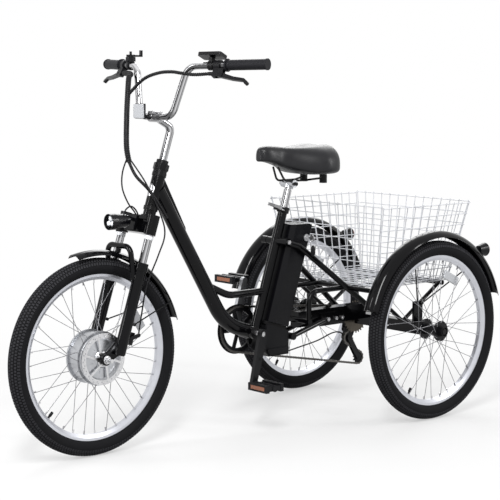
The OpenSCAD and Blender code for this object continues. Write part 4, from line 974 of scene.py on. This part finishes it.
def head_plate():
    """Bare oval plate bent round the front of the head tube."""
    verts, faces = [], []
    for k in range(PLATE_ROWS + 1):
        share = k / PLATE_ROWS
        r = PLATE_RADIUS + PLATE_CROWN * (1 - share ** 4)
        for i in range(PLATE_SIDES):
            a = 2 * math.pi * i / PLATE_SIDES
            turn = share * math.cos(a) * PLATE_HALF_ANGLE
            height = PLATE_HALF_HEIGHT * share * math.sin(a)
            verts.append(fork(r * math.cos(turn), r * math.sin(turn), height))
    n = PLATE_SIDES
    for k in range(PLATE_ROWS):
        for i in range(n):
            j = (i + 1) % n
            faces.append((k * n + i, (k + 1) * n + i, (k + 1) * n + j, k * n + j))
    new_object("head_plate", verts, faces, MATERIALS["plate"], "frame")


def lock_key():
    """Key in the battery lock, with a ring and a flat fob."""
    hole = middle("battery_lock")
    hole.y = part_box("battery_lock")[1].y
    steel = MATERIALS["steel"]
    parts = [
        lathe(KEY_HEAD, hole + Vector((0, 26, 0)) * MM, (1, 0, 0), 28),
        block(hole + Vector((0, 8, 0)) * MM, KEY_BLADE),
    ]
    new_object("lock_key", *joined(parts), steel, "battery_lock", smooth=False)
    loop = []
    for i in range(KEY_RING_POINTS + 1):
        a = 2 * math.pi * i / KEY_RING_POINTS
        x, z = KEY_RING_RADIUS * math.sin(a), KEY_RING_RADIUS * math.cos(a)
        loop.append(hole + Vector((x, KEY_RING_OUT, z - 16)) * MM)
    new_object("key_ring", *tube(loop, KEY_RING_WIRE, 2, 8), steel, "battery_lock")
    top = hole + Vector((0, KEY_RING_OUT, -24)) * MM
    verts, faces = lathe(FOB_PROFILE, top, (0, 0, -1), 24)
    verts = [Vector((v.x, top.y + (v.y - top.y) * FOB_FLATNESS, v.z)) for v in verts]
    new_object("key_fob", verts, faces, MATERIALS["plastic"], "battery_lock")


class TRICYCLE_OT_small_parts(Piece, bpy.types.Operator):
    """Add the front reflector, fork bands, head plate and key"""

    bl_idname = "tricycle.small_parts"
    bl_label = "Small parts"

    def execute(self, context):
        front_reflector()
        fork_bands()
        head_plate()
        lock_key()
        return {"FINISHED"}


# Stage, in metres

FLOOR_HALF = 30
FLOOR_TONE = 0.30
FLOOR_LIFT = 0.45
FADE_FROM = 0.9
FADE_TO = 2.4
LOW_SKY = (0.10, 0.10, 0.11, 1)
HIGH_SKY = (1.0, 1.0, 1.0, 1)
LIGHT_HEIGHT = 2.6
LIGHT_AIM = Vector((0, 0, 0.5))
CAMERA_LENS = 109.7
CAMERA_TARGET = Vector((REAR.x + 0.544, 0, 0.589))
CAMERA_TURN = math.radians(41.63)
CAMERA_RISE = math.radians(6.65)
CAMERA_ROLL = math.radians(0.35)
CAMERA_FAR = 5.059


def seen_directly(tree):
    """Output that is 1 where the camera, a mirror or glass looks at the background."""
    path = tree.nodes.new("ShaderNodeLightPath")
    out = path.outputs["Is Camera Ray"]
    for name in ("Is Glossy Ray", "Is Transmission Ray"):
        either = tree.nodes.new("ShaderNodeMath")
        either.operation = "MAXIMUM"
        tree.links.new(out, either.inputs[0])
        tree.links.new(path.outputs[name], either.inputs[1])
        out = either.outputs[0]
    return out


def floor_material():
    """White floor that keeps the shadows near the object and fades out far from it."""
    mat = finish_material("Pale floor", (FLOOR_TONE,) * 3, 0.8, grain=(2, 0.01), shine=0.1)
    tree = mat.node_tree
    seen = seen_directly(tree)
    lift = tree.nodes.new("ShaderNodeEmission")
    share = tree.nodes.new("ShaderNodeMath")
    share.operation = "MULTIPLY"
    share.inputs[1].default_value = FLOOR_LIFT
    tree.links.new(seen, share.inputs[0])
    tree.links.new(share.outputs[0], lift.inputs["Strength"])
    near = tree.nodes.new("ShaderNodeAddShader")
    tree.links.new(tree.nodes["Principled BSDF"].outputs[0], near.inputs[0])
    tree.links.new(lift.outputs[0], near.inputs[1])
    reach = tree.nodes.new("ShaderNodeVectorMath")
    reach.operation = "LENGTH"
    tree.links.new(tree.nodes["Texture Coordinate"].outputs["Object"], reach.inputs[0])
    fade = tree.nodes.new("ShaderNodeMapRange")
    fade.interpolation_type = "SMOOTHSTEP"
    fade.inputs["From Min"].default_value = FADE_FROM
    fade.inputs["From Max"].default_value = FADE_TO
    tree.links.new(reach.outputs["Value"], fade.inputs["Value"])
    weight = tree.nodes.new("ShaderNodeMath")
    weight.operation = "MULTIPLY"
    tree.links.new(fade.outputs["Result"], weight.inputs[0])
    tree.links.new(seen, weight.inputs[1])
    far = tree.nodes.new("ShaderNodeEmission")
    far.inputs["Strength"].default_value = 1.0
    mix = tree.nodes.new("ShaderNodeMixShader")
    tree.links.new(weight.outputs[0], mix.inputs[0])
    tree.links.new(near.outputs[0], mix.inputs[1])
    tree.links.new(far.outputs[0], mix.inputs[2])
    tree.links.new(mix.outputs[0], tree.nodes["Material Output"].inputs["Surface"])
    return mat


def studio_floor():
    """Floor just under the tread blocks."""
    low = (TREAD_ROOT / 2 - settings().tread_height) * MM
    h = FLOOR_HALF
    verts = [(-h, -h, low), (h, -h, low), (h, h, low), (-h, h, low)]
    floor = new_object("floor", verts, [(0, 1, 2, 3)], floor_material())


def studio_world(scene):
    """Sky that lights the object from above and is white where it is seen."""
    world = bpy.data.worlds.new("Studio")
    scene.world = world
    world.use_nodes = True
    tree = world.node_tree
    back = tree.nodes["Background"]
    back.inputs["Strength"].default_value = 1.0
    coords = tree.nodes.new("ShaderNodeTexCoord")
    split = tree.nodes.new("ShaderNodeSeparateXYZ")
    ramp = tree.nodes.new("ShaderNodeValToRGB")
    low, high = ramp.color_ramp.elements
    low.position = 0.05
    low.color = LOW_SKY
    high.position = 0.55
    high.color = HIGH_SKY
    tree.links.new(coords.outputs["Generated"], split.inputs[0])
    tree.links.new(split.outputs["Z"], ramp.inputs[0])
    tree.links.new(ramp.outputs[0], back.inputs["Color"])
    seen = tree.nodes.new("ShaderNodeBackground")
    seen.inputs["Color"].default_value = (1, 1, 1, 1)
    seen.inputs["Strength"].default_value = 1.0
    mix = tree.nodes.new("ShaderNodeMixShader")
    tree.links.new(seen_directly(tree), mix.inputs[0])
    tree.links.new(back.outputs[0], mix.inputs[1])
    tree.links.new(seen.outputs[0], mix.inputs[2])
    tree.links.new(mix.outputs[0], tree.nodes["World Output"].inputs["Surface"])


def studio_lights(scene):
    """Four strip lights aimed at the middle of the object."""
    s = settings()
    lamps = [
        ("Key", (2.6, 2.2, 3.4), 0.6, s.key_light),
        ("Fill", (-2.6, 3.4, 2.2), 0.5, s.fill_light),
        ("Front", (4.2, -1.6, 2.0), 0.5, s.fill_light),
        ("Back", (-2.8, -2.6, 3.0), 2.4, s.fill_light),
    ]
    for name, place, width, power in lamps:
        data = bpy.data.lights.new(name, "AREA")
        data.energy = power
        data.shape = "RECTANGLE"
        data.size = width
        data.size_y = LIGHT_HEIGHT
        lamp = bpy.data.objects.new(name, data)
        scene.collection.objects.link(lamp)
        lamp.location = place
        aim = LIGHT_AIM - Vector(place)
        lamp.rotation_euler = aim.to_track_quat("-Z", "Y").to_euler()


def photo_camera(scene):
    """Camera at the place that the photograph was taken from."""
    data = bpy.data.cameras.new("Camera")
    data.sensor_width = 36.0
    data.lens = CAMERA_LENS
    data.clip_end = 200
    cam = bpy.data.objects.new("Camera", data)
    scene.collection.objects.link(cam)
    level = math.cos(CAMERA_RISE)
    away = Vector((math.sin(CAMERA_TURN) * level, math.cos(CAMERA_TURN) * level, math.sin(CAMERA_RISE)))
    cam.location = CAMERA_TARGET + away * CAMERA_FAR
    turn = (-away).to_track_quat("-Z", "Y").to_matrix() @ Matrix.Rotation(CAMERA_ROLL, 3, "Z")
    cam.rotation_euler = turn.to_euler()
    scene.camera = cam


class TRICYCLE_OT_stage(Piece, bpy.types.Operator):
    """Set the floor, the lights and the camera"""

    bl_idname = "tricycle.stage"
    bl_label = "Stage"

    def execute(self, context):
        scene = context.scene
        scene.view_settings.view_transform = "Standard"
        studio_floor()
        studio_world(scene)
        studio_lights(scene)
        photo_camera(scene)
        return {"FINISHED"}


class TRICYCLE_PT_pieces(bpy.types.Panel):
    """Sidebar panel with the sizes and the pieces"""

    bl_idname = "TRICYCLE_PT_pieces"
    bl_label = "Adult tricycle"
    bl_space_type = "VIEW_3D"
    bl_region_type = "UI"
    bl_category = "Tricycle"

    def draw(self, context):
        s = settings()
        for name in s.__annotations__:
            self.layout.prop(s, name)
        for cls in OPERATORS:
            self.layout.operator(cls.bl_idname)


OPERATORS = (
    TRICYCLE_OT_finishes,
    TRICYCLE_OT_treads,
    TRICYCLE_OT_wheel_trim,
    TRICYCLE_OT_lamps,
    TRICYCLE_OT_cables,
    TRICYCLE_OT_saddle,
    TRICYCLE_OT_small_parts,
    TRICYCLE_OT_stage,
)
CLASSES = (TricycleSettings,) + OPERATORS + (TRICYCLE_PT_pieces,)


def register():
    """Adds the settings, the operators and the panel."""
    for cls in CLASSES:
        bpy.utils.register_class(cls)
    bpy.types.Scene.tricycle = bpy.props.PointerProperty(type=TricycleSettings)


def unregister():
    """Takes them out again."""
    del bpy.types.Scene.tricycle
    for cls in reversed(CLASSES):
        bpy.utils.unregister_class(cls)


def main():
    """Builds the whole scene."""
    register()
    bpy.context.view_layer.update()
    bpy.ops.tricycle.finishes()
    bpy.ops.tricycle.treads()
    bpy.ops.tricycle.wheel_trim()
    bpy.ops.tricycle.lamps()
    bpy.ops.tricycle.cables()
    bpy.ops.tricycle.saddle()
    bpy.ops.tricycle.small_parts()
    bpy.ops.tricycle.stage()


if __name__ == "__main__":
    main()
